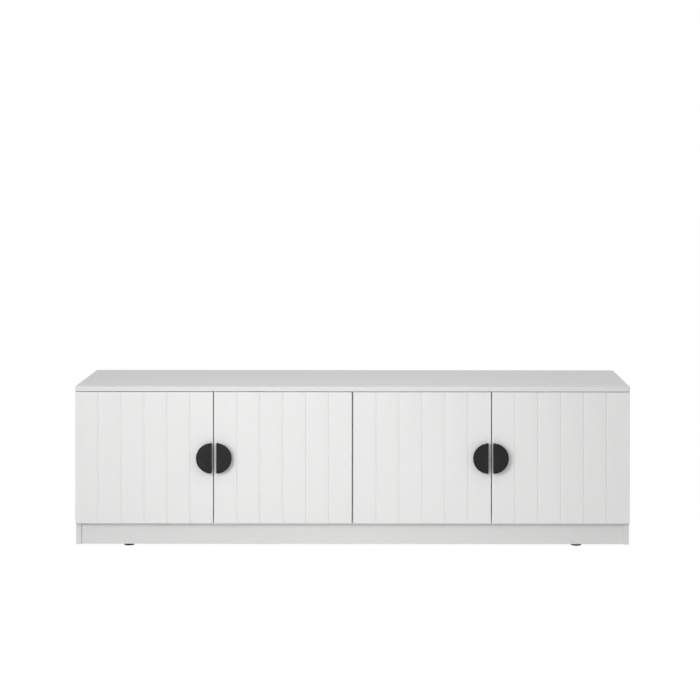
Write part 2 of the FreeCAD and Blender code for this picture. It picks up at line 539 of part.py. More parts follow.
def make_hinge_plate(door, z):
    """Cross-shaped mounting plate on the upright's inner face."""
    thick = (door.mount_w, door.mount_w + PLATE_THICKNESS)
    bar = door.box(thick, PLATE_V, (z - CHANNEL_HALF_WIDTH, z + CHANNEL_HALF_WIDTH))
    wing = door.box(thick, (-PLATE_LINE - PLATE_WING_HALF_V, -PLATE_LINE + PLATE_WING_HALF_V),
                    (z - PLATE_WING_HALF_Z, z + PLATE_WING_HALF_Z))
    through, behind = 2 * PLATE_THICKNESS, door.mount_w - 1
    cuts = [rod(ARM_SCREW_RADIUS + SLACK / 2, door.point(behind, v, z), door.across, through)
            for v in ARM_SCREW_LINES]
    for dz in (-PLATE_SCREW_Z, PLATE_SCREW_Z):
        cuts.append(rod(PLATE_SCREW_RADIUS + SLACK / 2, door.point(behind, -PLATE_LINE, z + dz),
                        door.across, through))
    return fuse([bar, wing]).cut(cuts)


def make_plate_screws(door, z):
    """Two euro screws that hold a mounting plate."""
    seat_w = door.mount_w + PLATE_THICKNESS
    return [screw(door.point(seat_w, -PLATE_LINE, z + dz), -door.across, PLATE_SCREW_HEAD,
                  PLATE_SCREW_RADIUS, door.screw_depth - 0.5 + PLATE_THICKNESS, (door.mount_board,))
            for dz in (-PLATE_SCREW_Z, PLATE_SCREW_Z)]


def make_bumpers():
    """Four soft discs on the bottom panel's front edge, one behind each door's free corner."""
    bumpers = []
    pair_centre = DOOR_REVEAL + DOOR_WIDTH + DOOR_GAP / 2
    for centre in (-HALF + pair_centre, HALF - pair_centre):
        for dx in (-BUMPER_FROM_GAP, BUMPER_FROM_GAP):
            seat = V(centre + dx, CARCASS_FRONT, BASE_Z + BOARD / 2 + 1)
            bumpers.append(rod(BUMPER_RADIUS, seat, -Y, DOOR_STANDOFF - BUMPER_CLEARANCE))
    return bumpers


# ---- Levelling feet -----------------------------------------------------------------------------
@dataclass
class Foot:
    """One levelling foot: name, centre, the plinth board that carries it and where its inner face looks."""

    name: str
    x: float
    y: float
    board: str
    inward: V

    def at(self, z):
        """Point on the stem's axis."""
        return V(self.x, self.y, z)


def make_feet():
    """Two feet behind the front plinth board and two before the rear one."""
    feet = []
    for depth, y, board, inward in (
            ("front", PLINTH_INNER + FOOT_BEHIND_BOARD, "plinth_board", Y),
            ("rear", REAR_PLINTH_INNER - FOOT_BEHIND_BOARD, "rear_plinth_board", -Y)):
        for side, x in (("left", -FOOT_X), ("right", FOOT_X)):
            feet.append(Foot(f"foot_{depth}_{side}", x, y, board, inward))
    return feet


def make_foot_pad(foot):
    """Round pad with a softened lower edge and a socket for the stem."""
    pad = rod(PAD_RADIUS, foot.at(0), Z, PAD_THICKNESS)
    pad = pad.makeFillet(PAD_ROUND, [e for e in pad.Edges if e.BoundBox.ZLength < 0.01])
    return pad.cut(rod(STEM_BORE_RADIUS, foot.at(PAD_FLOOR), Z, PAD_THICKNESS))


def make_foot_stem(foot):
    """Stem with a hexagon to turn it by; a plain cylinder stands in for its M8 thread."""
    base = foot.at(PAD_THICKNESS + COLLAR_ABOVE_PAD)
    hexagon = [base + FreeCAD.Rotation(Z, 60.0 * n).multVec(X * COLLAR_CORNER_RADIUS) for n in range(7)]
    collar = Part.Face(Part.makePolygon(hexagon)).extrude(Z * COLLAR_HEIGHT)
    return fuse([rod(STEM_RADIUS, foot.at(STEM_BOTTOM), Z, STEM_TOP - STEM_BOTTOM), collar])


def make_foot_bracket(foot):
    """Block on the plinth board's inner face that the stem screws into."""
    face = foot.y - foot.inward.y * FOOT_BEHIND_BOARD
    bracket = block(foot.x - BRACKET_HALF_WIDTH, foot.x + BRACKET_HALF_WIDTH, face,
                    face + foot.inward.y * BRACKET_REACH, *BRACKET_Z)
    free = [e for e in bracket.Edges if e.BoundBox.ZLength > 1 and abs(e.Vertexes[0].Y - face) > 1]
    bracket = bracket.makeFillet(BRACKET_ROUND, free)
    cuts = [rod(STEM_BORE_RADIUS, foot.at(BRACKET_Z[0] - 1), Z, BRACKET_Z[1])]
    for dx in (-BRACKET_SCREW_X, BRACKET_SCREW_X):
        cuts.append(rod(BRACKET_SCREW_RADIUS + SLACK / 2, V(foot.x + dx, face, BRACKET_SCREW_Z),
                        foot.inward, BRACKET_REACH + 1))
    return bracket.cut(cuts)


def make_bracket_screws(foot):
    """Two wood screws through the bracket into the plinth board."""
    face = foot.y - foot.inward.y * FOOT_BEHIND_BOARD
    seat = face + foot.inward.y * BRACKET_REACH
    return [screw(V(foot.x + dx, seat, BRACKET_SCREW_Z), -foot.inward, BRACKET_SCREW_HEAD,
                  BRACKET_SCREW_RADIUS, BRACKET_SCREW_LENGTH, (foot.board,))
            for dx in (-BRACKET_SCREW_X, BRACKET_SCREW_X)]


def main():
    """Make the fixings first, because they drill the boards, then the boards, and export every node."""
    os.makedirs("parts", exist_ok=True)
    doors, feet = make_doors(), make_feet()
    hinges = [(door, z) for door in doors for z in HINGE_HEIGHTS]
    cams, bolts, dowels = make_board_fixings()
    groups = {
        "cam_locks": cams, "cam_bolts": bolts, "dowels": dowels,
        "divider_screws": make_divider_screws(),
        "shelf_pins": make_shelf_pins(),
        "back_panel_nails": make_back_nails(),
        "hinge_plates": [make_hinge_plate(*hinge) for hinge in hinges],
        "hinge_arms": [make_hinge_arm(*hinge) for hinge in hinges],
        "plate_screws": [s for hinge in hinges for s in make_plate_screws(*hinge)],
        "arm_screws": [s for hinge in hinges for s in make_arm_screws(*hinge)],
        "door_bumpers": make_bumpers(),
        "foot_brackets": [make_foot_bracket(foot) for foot in feet],
        "bracket_screws": [s for foot in feet for s in make_bracket_screws(foot)],
    }
    for door in doors:
        prefix = f"door_{door.number}"
        groups[f"{prefix}_hinge_cups"] = [make_hinge_cup(door, z) for z in HINGE_HEIGHTS]
        groups[f"{prefix}_cup_screws"] = [s for z in HINGE_HEIGHTS for s in make_cup_screws(door, z)]
        groups[f"{prefix}_hinge_pins"] = [make_hinge_pin(door, z) for z in HINGE_HEIGHTS]
        groups[f"{prefix}_handle_screws"] = make_handle_screws(door)
    for node, solids in groups.items():
        export(node, solids)
    for node, board in make_boards().items():
        export(node, board)
    for door in doors:
        export(door.panel_name, make_door_panel(door))
        export(f"door_{door.number}_handle", make_handle(door))
    for foot in feet:
        export(f"{foot.name}_pad", make_foot_pad(foot))
        export(f"{foot.name}_stem", make_foot_stem(foot))


main()
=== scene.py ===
"""Looks of a low white television cabinet with four grooved doors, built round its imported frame.

The frame gives every board, door, hinge and foot its place. This script gives each of them its finished
mesh and its material, adds a pale floor and soft studio light, and sets the camera. Units are metres,
X runs to the right, the doors face -Y, and Z is up.
"""

import json
import logging
import math
from dataclasses import dataclass, field
from enum import Enum
from typing import Callable, Dict, Iterable, List, Optional, Sequence, Tuple, Union

import bmesh
import bpy
import numpy as np
from mathutils import Matrix, Vector

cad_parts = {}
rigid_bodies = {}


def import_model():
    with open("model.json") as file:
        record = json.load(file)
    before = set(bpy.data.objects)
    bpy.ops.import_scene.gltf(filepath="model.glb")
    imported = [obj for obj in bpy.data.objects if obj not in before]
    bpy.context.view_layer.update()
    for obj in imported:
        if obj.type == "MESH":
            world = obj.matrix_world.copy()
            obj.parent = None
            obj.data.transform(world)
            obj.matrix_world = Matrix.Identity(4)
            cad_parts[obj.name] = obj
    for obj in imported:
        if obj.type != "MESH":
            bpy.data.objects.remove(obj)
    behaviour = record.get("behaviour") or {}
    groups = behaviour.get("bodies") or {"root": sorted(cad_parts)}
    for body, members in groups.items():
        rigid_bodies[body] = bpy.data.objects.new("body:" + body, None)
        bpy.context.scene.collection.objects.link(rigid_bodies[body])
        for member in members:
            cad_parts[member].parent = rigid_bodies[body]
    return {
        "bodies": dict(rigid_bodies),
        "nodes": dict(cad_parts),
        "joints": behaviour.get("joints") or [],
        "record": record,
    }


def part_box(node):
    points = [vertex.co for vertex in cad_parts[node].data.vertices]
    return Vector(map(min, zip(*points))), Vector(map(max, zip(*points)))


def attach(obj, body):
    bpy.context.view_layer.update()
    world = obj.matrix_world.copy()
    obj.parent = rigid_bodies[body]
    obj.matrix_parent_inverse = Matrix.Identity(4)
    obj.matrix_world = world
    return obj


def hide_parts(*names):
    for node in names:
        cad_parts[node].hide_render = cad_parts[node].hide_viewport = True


LOG = logging.getLogger("tv_cabinet")
MM = 0.001
MERGE = 2e-6                     # vertices closer than this are one
ON_PLANE = 1e-5                  # points closer than this to a plane lie on it
AT_POLE = 1e-7                   # rings smaller than this close to one vertex
FLAT_TURN = 0.3                  # faces that turn less than these degrees are one face
SMOOTH_TURN = 32.0               # edges that turn less than these degrees are shaded smooth
RIM_SHARE = 0.97                 # points this near a solid's widest radius are on its rim
AXES = "XYZ"
UP = Vector((0.0, 0.0, 1.0))
WHITE = (1.0, 1.0, 1.0, 1.0)

Colour = Tuple[float, float, float, float]
Point = Tuple[float, float, float]
Span = Tuple[float, float]
Outline = List[Tuple[float, float]]
Mesh = bmesh.types.BMesh
Edge = bmesh.types.BMEdge
Piece = bpy.types.Object
Material = bpy.types.Material
Socket = bpy.types.NodeSocket
Value = Union[float, Socket]
Tint = Union[Colour, Socket]


# ---- Working with the frame ------------------------------------------------------------------------
class Frame:
    """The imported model: its nodes, and the body and the material slot of each node."""

    def __init__(self, loaded: dict) -> None:
        """Keep the loaded frame.
        """
        record = loaded["record"]
        self.nodes: Dict[str, Piece] = loaded["nodes"]
        self.body_of: Dict[str, str] = {node: body for body, nodes in record["behaviour"]["bodies"].items()
                                        for node in nodes}
        self.slot_of: Dict[str, str] = {row["node"]: row["material_slot"] for row in record["subparts"]}

    def merged(self, node: str) -> Mesh:
        """A node's mesh with its loose triangles joined and its flat faces whole.

        Args:
            node: The node's name.

        Returns:
            A new BMesh, which the caller frees.
        """
        mesh = bmesh.new()
        mesh.from_mesh(self.nodes[node].data)
        bmesh.ops.remove_doubles(mesh, verts=mesh.verts, dist=MERGE)
        bmesh.ops.dissolve_limit(mesh, angle_limit=math.radians(FLAT_TURN), verts=mesh.verts,
                                 edges=mesh.edges)
        return mesh

    def solids(self, node: str) -> List[np.ndarray]:
        """The corner points of each separate solid in a node.

        Args:
            node: The node's name.

        Returns:
            One array of points for each solid, in order of place.
        """
        mesh = self.merged(node)
        seen: set = set()
        clouds: List[np.ndarray] = []
        for start in mesh.verts:
            if start in seen:
                continue
            seen.add(start)
            found, queue = [], [start]
            while queue:
                vertex = queue.pop()
                found.append(tuple(vertex.co))
                for edge in vertex.link_edges:
                    other = edge.other_vert(vertex)
                    if other not in seen:
                        seen.add(other)
                        queue.append(other)
            clouds.append(np.array(found))
        mesh.free()
        return sorted(clouds, key=lambda cloud: tuple(np.round(cloud.min(0), 4)))


def settle(piece: Piece, frame: Frame, node: str) -> None:
    """Let a finished piece stand for its CAD node.

    Args:
        piece: The finished piece.
        frame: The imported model.
        node: The node that it stands for.
    """
    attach(piece, frame.body_of[node])
    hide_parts(node)
    LOG.info("%s: %d faces, for %s", piece.name, len(piece.data.polygons), node)


def object_from(mesh: Mesh, name: str, finish: Material) -> Piece:
    """Turn a BMesh into an object whose sharp edges stay sharp and whose curves are smooth.

    Args:
        mesh: The mesh, which is freed.
        name: The object's name.
        finish: Its material.

    Returns:
        The new object, at the origin.
    """
    for face in mesh.faces:
        face.smooth = True
    for edge in mesh.edges:
        turn = edge.calc_face_angle(math.pi) if edge.is_manifold else math.pi
        edge.smooth = turn < math.radians(SMOOTH_TURN)
    data = bpy.data.meshes.new(name)
    mesh.to_mesh(data)
    mesh.free()
    data.materials.append(finish)
    piece = bpy.data.objects.new(name, data)
    bpy.context.scene.collection.objects.link(piece)
    return piece


def baked(piece: Piece) -> Piece:
    """Put the result of an object's modifiers in its mesh, and take the modifiers off.

    Args:
        piece: An object with modifiers.

    Returns:
        The same object, with a plain mesh.
    """
    graph = bpy.context.evaluated_depsgraph_get()
    finished = bpy.data.meshes.new_from_object(piece.evaluated_get(graph))
    finished.name = piece.name
    piece.modifiers.clear()
    piece.data = finished
    return piece


def even_shading(piece: Piece) -> Piece:
    """Let each large flat face set the shading of the small rounds beside it.

    Args:
        piece: The piece.

    Returns:
        The same piece.
    """
    weights = piece.modifiers.new("even_shading", "WEIGHTED_NORMAL")
    weights.mode = "FACE_AREA"
    weights.weight = 90
    weights.keep_sharp = True
    return baked(piece)


def soften(mesh: Mesh, edges: Sequence[Edge], offset: float, segments: int = 2) -> None:
    """Soften edges of a mesh.

    Args:
        mesh: The mesh.
        edges: The edges.
        offset: How far the soft band reaches to each side of its edge.
        segments: Faces across the band, where 1 makes a chamfer.
    """
    bmesh.ops.bevel(mesh, geom=edges, offset=offset, offset_type="OFFSET", segments=segments, profile=0.5,
                    affect="EDGES", clamp_overlap=True)


def hard_edges(mesh: Mesh, degrees: float, longer_than: float) -> List[Edge]:
    """The edges of a mesh that turn sharply and aren't too short to soften.

    Args:
        mesh: The mesh.
        degrees: The least turn.
        longer_than: The least length.

    Returns:
        The edges.
    """
    return [edge for edge in mesh.edges
            if edge.is_manifold and edge.calc_face_angle() > math.radians(degrees)
            and edge.calc_length() > longer_than]


def radii(cloud: np.ndarray, axis: int) -> np.ndarray:
    """How far a solid's points lie from the line along an axis through its middle.

    Args:
        cloud: The solid's points.
        axis: Number of the axis.

    Returns:
        One distance for each point.
    """
    centre = (cloud.min(0) + cloud.max(0)) / 2
    return np.hypot(*(cloud[:, i] - centre[i] for i in range(3) if i != axis))


class NodeSheet:
    """A node tree under construction, with the calls that materials and geometry nodes share."""

    tree: bpy.types.NodeTree

    def feed(self, value: object, socket: Socket) -> None:
        """Link a socket, or set a constant, into an input.

        Args:
            value: What the input gets.
            socket: The input.
        """
        if isinstance(value, Socket):
            self.tree.links.new(value, socket)
        else:
            socket.default_value = value

    def math(self, operation: str, *values: Value) -> Socket:
        """One Math node.

        Args:
            operation: What it does.
            values: Its inputs in order, each a number or a socket.

        Returns:
            Its result.
        """
        node = self.tree.nodes.new("ShaderNodeMath")
        node.operation = operation
        for socket, value in zip(node.inputs, values):
            self.feed(value, socket)
        return node.outputs[0]


# ---- Materials -------------------------------------------------------------------------------------
def evenly(cells: float) -> Point:
    """The same number of cells per metre along every axis."""
    return (cells, cells, cells)


class MaterialSheet(NodeSheet):
    """A material under construction, with short calls for the nodes that the finishes share."""

    CLOUD_SHADE = 0.985          # tone of the duller clouds, as a share of the full tone

    def __init__(self, name: str) -> None:
        """Start a material that has a surface shader and object coordinates.

        Args:
            name: The material's name.
        """
        self.material = bpy.data.materials.new(name)
        self.material.use_nodes = True
        self.tree = self.material.node_tree
        self.shader = self.tree.nodes["Principled BSDF"]
        self.place = self.tree.nodes.new("ShaderNodeTexCoord").outputs["Object"]
        axes = self.tree.nodes.new("ShaderNodeSeparateXYZ")
        self.tree.links.new(self.place, axes.inputs[0])
        self.axis = {letter: axes.outputs[letter] for letter in AXES}

    def set(self, **constants: float) -> None:
        """Set constants on the shader's own sockets, with _ for a space in a socket's name."""
        for name, value in constants.items():
            self.shader.inputs[name.replace("_", " ")].default_value = value

    def depths(self, low: Vector, high: Vector) -> Dict[str, Socket]:
        """Distance inside a box from the nearer of its two faces across each axis.

        Args:
            low: The box's lowest corner.
            high: Its highest corner.

        Returns:
            One socket for each axis letter.
        """
        return {letter: self.math("MINIMUM", self.math("SUBTRACT", self.axis[letter], low[index]),
                                  self.math("SUBTRACT", high[index], self.axis[letter]))
                for index, letter in enumerate(AXES)}

    def mapped(self, scale: Point, shift: Point = (0.0, 0.0, 0.0)) -> Socket:
        """Object coordinates in cells.

        Args:
            scale: Cells per metre along each axis.
            shift: Where the pattern starts, in cells.

        Returns:
            The coordinates.
        """
        mapping = self.tree.nodes.new("ShaderNodeMapping")
        mapping.inputs["Scale"].default_value = scale
        mapping.inputs["Location"].default_value = shift
        self.tree.links.new(self.place, mapping.inputs["Vector"])
        return mapping.outputs[0]

    def noise(self, scale: Point, detail: float = 3.0, roughness: float = 0.5,
              shift: Point = (0.0, 0.0, 0.0)) -> Socket:
        """Noise with its own scale along each axis.

        Args:
            scale: Cells per metre along each axis.
            detail: How many finer layers lie over the first.
            roughness: How strong the finer layers are.
            shift: Where the pattern starts, in cells.

        Returns:
            The noise.
        """
        node = self.tree.nodes.new("ShaderNodeTexNoise")
        node.inputs["Scale"].default_value = 1.0
        node.inputs["Detail"].default_value = detail
        node.inputs["Roughness"].default_value = roughness
        self.tree.links.new(self.mapped(scale, shift), node.inputs["Vector"])
        return node.outputs["Fac"]

    def chips(self, scale: Point) -> Socket:
        """A random grey for each of many small cells.

        Args:
            scale: Cells per metre along each axis.

        Returns:
            The grey, from 0 to 1.
        """
        node = self.tree.nodes.new("ShaderNodeTexVoronoi")
        node.inputs["Scale"].default_value = 1.0
        self.tree.links.new(self.mapped(scale), node.inputs["Vector"])
        grey = self.tree.nodes.new("ShaderNodeSeparateColor")
        self.tree.links.new(node.outputs["Color"], grey.inputs[0])
        return grey.outputs[0]

    def spread(self, value: Socket, out: Span, within: Span = (0.3, 0.7)) -> Socket:
        """A value mapped from one range to another, and held inside it.

        Args:
            value: The value.
            out: The range of the result.
            within: The range of the value that is spread over it.

        Returns:
            The result.
        """
        node = self.tree.nodes.new("ShaderNodeMapRange")
        for socket, number in zip(node.inputs[1:5], (*within, *out)):
            socket.default_value = number
        self.tree.links.new(value, node.inputs[0])
        return node.outputs[0]

    def blend(self, share: Socket, under: Tint, over: Tint) -> Socket:
        """Two colours mixed by a share.

        Args:
            share: How much of the second colour shows.
            under: The first colour.
            over: The second colour.

        Returns:
            The mixed colour.
        """
        node = self.tree.nodes.new("ShaderNodeMix")
        node.data_type = "RGBA"
        self.tree.links.new(share, node.inputs[0])
        self.feed(under, node.inputs[6])
        self.feed(over, node.inputs[7])
        return node.outputs[2]

    def clouded(self, tone: Colour, clouds: Socket) -> Socket:
        """A tone with broad clouds in it that are hardly duller.

        Args:
            tone: The full tone.
            clouds: Broad noise.

        Returns:
            The colour.
        """
        dull = tuple(self.CLOUD_SHADE * part for part in tone[:3]) + (1.0,)
        return self.blend(self.spread(clouds, (0.0, 1.0)), dull, tone)

    def finish(self, colour: Socket, roughness: Socket,
               heights: Iterable[Tuple[Socket, float]] = ()) -> Material:
        """Connect what varies over the surface, and return the material.

        Args:
            colour: Socket for the base colour.
            roughness: Socket for the roughness.
            heights: Pairs of a height socket and its relief in metres, laid one over the other.

        Returns:
            The finished material.
        """
        self.tree.links.new(colour, self.shader.inputs["Base Color"])
        self.tree.links.new(roughness, self.shader.inputs["Roughness"])
        below = self.shader.inputs["Normal"]
        for height, relief in reversed(list(heights)):
            bump = self.tree.nodes.new("ShaderNodeBump")
            bump.inputs["Strength"].default_value = 1.0
            bump.inputs["Distance"].default_value = relief
            self.tree.links.new(height, bump.inputs["Height"])
            self.tree.links.new(bump.outputs[0], below)
            below = bump.inputs["Normal"]
        return self.material


@dataclass(frozen=True)
class BoardCore:
    """What a cut shows inside a board: pale chips and darker glue, or even brown fibre."""

    chip: Colour
    glue: Colour
    chips_per_metre: float
    pressed: float = 2.2         # chips lie flat, so there are more of them through the board's height

    def colour(self, sheet: MaterialSheet) -> Socket:
        """The core's colour over the surface."""
        scale = self.chips_per_metre
        return sheet.blend(sheet.chips((scale, scale, scale * self.pressed)), self.glue, self.chip)


CHIPBOARD = BoardCore((0.56, 0.42, 0.26, 1.0), (0.30, 0.19, 0.10, 1.0), 420.0)
FIBREBOARD = BoardCore((0.47, 0.33, 0.19, 1.0), (0.40, 0.27, 0.15, 1.0), 2400.0)
RAW_ROUGHNESS = 0.85             # of cut board


@dataclass(frozen=True)
class SatinLaminate:
    """White satin laminate on chipboard, with edging strips whose joint shows as a hair line."""

    tone: Colour = (0.812, 0.811, 0.804, 1.0)
    edging_tone: Colour = (0.765, 0.764, 0.757, 1.0)
    line_tone: Colour = (0.60, 0.595, 0.58, 1.0)
    edging: float = 0.8 * MM
    line_half: float = 0.11 * MM
    line_share: float = 0.55
    skin: float = 0.35 * MM
    cut_face: float = 0.05 * MM
    thickest_board: float = 30 * MM
    clouds: Point = (2.3, 2.9, 2.6)
    pearl: float = 1500.0
    pearl_relief: float = 0.008 * MM
    wave: float = 45.0
    wave_relief: float = 0.02 * MM
    roughness: Span = (0.36, 0.44)
    specular: float = 0.45

    def make(self, name: str, low: Vector, high: Vector, edged: str, corner: float = 0.0) -> Material:
        """The material of one board.

        Args:
            name: The material's name.
            low: The board's lowest corner.
            high: Its highest corner.
            edged: Letters of the axes across which its narrow edges carry an edging strip.
            corner: How far rounded corners cut into the board's box.

        Returns:
            The material.
        """
        sheet = MaterialSheet(name)
        depth = sheet.depths(low, high)
        colour = sheet.clouded(self.tone, sheet.noise(self.clouds))
        for letter in edged:
            strip = sheet.math("LESS_THAN", depth[letter], self.edging)
            colour = sheet.blend(strip, colour, self.edging_tone)
        for letter in edged:
            seam = sheet.math("COMPARE", depth[letter], self.edging, self.line_half)
            colour = sheet.blend(sheet.math("MULTIPLY", seam, self.line_share), colour, self.line_tone)
        cut = self.cut(sheet, depth, high - low, edged, corner)
        colour = sheet.blend(cut, colour, CHIPBOARD.colour(sheet))
        pearl = sheet.noise(evenly(self.pearl), detail=2.0)
        wave = sheet.noise(evenly(self.wave), detail=1.0)
        roughness = sheet.math("MAXIMUM", sheet.spread(pearl, self.roughness),
                               sheet.math("MULTIPLY", cut, RAW_ROUGHNESS))
        sheet.set(Specular_IOR_Level=self.specular)
        return sheet.finish(colour, roughness, ((wave, self.wave_relief), (pearl, self.pearl_relief)))

    def cut(self, sheet: MaterialSheet, depth: Dict[str, Socket], size: Vector, edged: str,
            corner: float) -> Socket:
        """Where the board's core shows: in its bores, and on its long cut edges without a strip.

        Args:
            sheet: The material under construction.
            depth: Distance inside the board along each axis.
            size: The board's size.
            edged: Letters of the axes whose edges carry a strip.
            corner: How far rounded corners cut into the board's box.

        Returns:
            1 where the core shows, and 0 elsewhere.
        """
        inside = sheet.math("MINIMUM", sheet.math("MINIMUM", depth["X"], depth["Y"]), depth["Z"])
        cut = sheet.math("GREATER_THAN", inside, self.skin + corner)
        for index, letter in enumerate(AXES):
            if letter not in edged and size[index] > self.thickest_board:
                others = [depth[other] for other in AXES if other != letter]
                under_skin = sheet.math("GREATER_THAN", sheet.math("MINIMUM", *others), self.skin)
                at_end = sheet.math("LESS_THAN", depth[letter], self.cut_face)
                cut = sheet.math("MAXIMUM", cut, sheet.math("MULTIPLY", at_end, under_skin))
        return cut


@dataclass(frozen=True)
class SatinPaint:
    """White satin paint on fibreboard, with painted shade that deepens down in the grooves."""

    tone: Colour = (0.832, 0.831, 0.825, 1.0)
    # painted shade for the bottoms of the grooves, not a tone of the paint itself
    groove_shade_tone: Colour = (0.785, 0.784, 0.776, 1.0)
    lip: float = 0.15 * MM
    slack: float = 0.2 * MM
    skin: float = 0.3 * MM
    cup_reach: float = 1.5 * MM
    clouds: Point = (3.1, 2.0, 1.7)
    cloud_start: float = 0.4
    stipple: float = 900.0
    stipple_relief: float = 0.006 * MM
    flow: Point = (38.0, 38.0, 22.0)
    flow_relief: float = 0.03 * MM
    roughness: Span = (0.33, 0.40)
    specular: float = 0.5

    def make(self, name: str, low: Vector, high: Vector, round_over: float, groove: float) -> Material:
        """The material of one door.

        Args:
            name: The material's name.
            low: The door's lowest corner.
            high: Its highest corner.
            round_over: Radius of the door's front arris.
            groove: Depth of its grooves.

        Returns:
            The material.
        """
        sheet = MaterialSheet(name)
        depth = sheet.depths(low, high)
        behind_face = sheet.math("SUBTRACT", sheet.axis["Y"], low.y)
        colour = sheet.clouded(self.tone, sheet.noise(self.clouds, shift=(low.x, 0.0, self.cloud_start)))
        inner = sheet.math("GREATER_THAN", depth["X"], round_over + self.slack)
        # Painted shade: the paint darkens with depth down each groove.
        deep = sheet.spread(behind_face, (0.0, 1.0), (self.lip, groove))
        painted_groove_shade = sheet.math("MULTIPLY", sheet.math("MULTIPLY", deep, inner),
                               sheet.math("LESS_THAN", behind_face, groove + self.skin))
        colour = sheet.blend(painted_groove_shade, colour, self.groove_shade_tone)
        away = sheet.math("MINIMUM", sheet.math("MINIMUM", depth["X"], depth["Z"]),
                          sheet.math("ADD", depth["Y"], self.cup_reach))
        bored = sheet.math("MULTIPLY", sheet.math("GREATER_THAN", away, round_over + self.skin),
                           sheet.math("GREATER_THAN", behind_face, groove + self.slack))
        bored = sheet.math("MULTIPLY", bored, sheet.math("GREATER_THAN", depth["Y"], self.skin))
        colour = sheet.blend(bored, colour, FIBREBOARD.colour(sheet))
        stipple = sheet.noise(evenly(self.stipple), detail=2.0)
        flow = sheet.noise(self.flow, detail=1.0)
        roughness = sheet.math("MAXIMUM", sheet.spread(stipple, self.roughness),
                               sheet.math("MULTIPLY", bored, RAW_ROUGHNESS))
        sheet.set(Specular_IOR_Level=self.specular)
        return sheet.finish(colour, roughness, ((flow, self.flow_relief), (stipple, self.stipple_relief)))


@dataclass(frozen=True)
class BrushedCharcoal:
    """Charcoal lacquer over metal that was brushed up and down."""

    dark: Colour = (0.008, 0.0078, 0.0075, 1.0)
    light: Colour = (0.023, 0.0218, 0.0205, 1.0)
    brushing: Point = (2600.0, 2600.0, 30.0)
    brushing_relief: float = 0.02 * MM
    brushing_share: float = 0.6
    clouds: Point = (40.0, 40.0, 25.0)
    roughness: Span = (0.40, 0.56)
    specular: float = 0.28

    def make(self, name: str) -> Material:
        """The material of the pulls.

        Args:
            name: The material's name.

        Returns:
            The material.
        """
        sheet = MaterialSheet(name)
        brushing = sheet.noise(self.brushing, detail=4.0, roughness=0.65)
        clouds = sheet.noise(self.clouds, detail=2.0)
        share = sheet.math("ADD", sheet.spread(brushing, (0.0, self.brushing_share)),
                           sheet.spread(clouds, (0.0, 1.0 - self.brushing_share)))
        sheet.set(Specular_IOR_Level=self.specular)
        return sheet.finish(sheet.blend(share, self.dark, self.light),
                            sheet.spread(brushing, self.roughness), ((brushing, self.brushing_relief),))


@dataclass(frozen=True)
class PlatedSteel:
    """Nickel-plated pressed steel: bright, with faint rolling marks and cloudy spots."""

    bright: Colour = (0.66, 0.645, 0.62, 1.0)
    cloudy: Colour = (0.52, 0.505, 0.48, 1.0)
    rolling: Point = (220.0, 1800.0, 220.0)
    rolling_relief: float = 0.006 * MM
    spots: float = 130.0
    roughness: Span = (0.24, 0.40)

    def make(self, name: str) -> Material:
        """The material of hinges, screws and pins.

        Args:
            name: The material's name.

        Returns:
            The material.
        """
        sheet = MaterialSheet(name)
        rolling = sheet.noise(self.rolling, detail=4.0, roughness=0.6)
        spots = sheet.spread(sheet.noise(evenly(self.spots)), (0.0, 1.0))
        sheet.set(Metallic=1.0)
        return sheet.finish(sheet.blend(spots, self.cloudy, self.bright),
                            sheet.spread(rolling, self.roughness), ((rolling, self.rolling_relief),))


@dataclass(frozen=True)
class CastZinc:
    """Dull die-cast zinc with a fine grain."""

    tone: Colour = (0.40, 0.41, 0.42, 1.0)
    grain_tone: Colour = (0.30, 0.31, 0.325, 1.0)
    grain: float = 1700.0
    relief: float = 0.03 * MM
    roughness: Span = (0.45, 0.62)

    def make(self, name: str) -> Material:
        """The material of the cam locks.

        Args:
            name: The material's name.

        Returns:
            The material.
        """
        sheet = MaterialSheet(name)
        grain = sheet.noise(evenly(self.grain), detail=4.0, roughness=0.7)
        colour = sheet.blend(sheet.spread(grain, (0.0, 1.0)), self.grain_tone, self.tone)
        sheet.set(Metallic=1.0)
        return sheet.finish(colour, sheet.spread(grain, self.roughness), ((grain, self.relief),))


@dataclass(frozen=True)
class TurnedBeech:
    """Bare beech with short dark flecks along the grain."""

    pale: Colour = (0.62, 0.43, 0.26, 1.0)
    fleck: Colour = (0.38, 0.23, 0.12, 1.0)
    grain: Point = (420.0, 420.0, 60.0)
    grain_share: float = 0.6
    relief: float = 0.03 * MM
    flecks: Point = (1400.0, 1400.0, 260.0)
    fleck_share: float = 0.5
    fleck_range: Span = (0.62, 0.74)
    roughness: Span = (0.55, 0.7)

    def make(self, name: str) -> Material:
        """The material of the dowels.

        Args:
            name: The material's name.

        Returns:
            The material.
        """
        sheet = MaterialSheet(name)
        grain = sheet.noise(self.grain, detail=5.0, roughness=0.6)
        flecks = sheet.spread(sheet.noise(self.flecks, detail=1.0), (0.0, self.fleck_share), self.fleck_range)
        colour = sheet.blend(sheet.spread(grain, (0.0, self.grain_share)), self.pale, self.fleck)
        return sheet.finish(sheet.blend(flecks, colour, self.fleck),
                            sheet.spread(grain, self.roughness), ((grain, self.relief),))


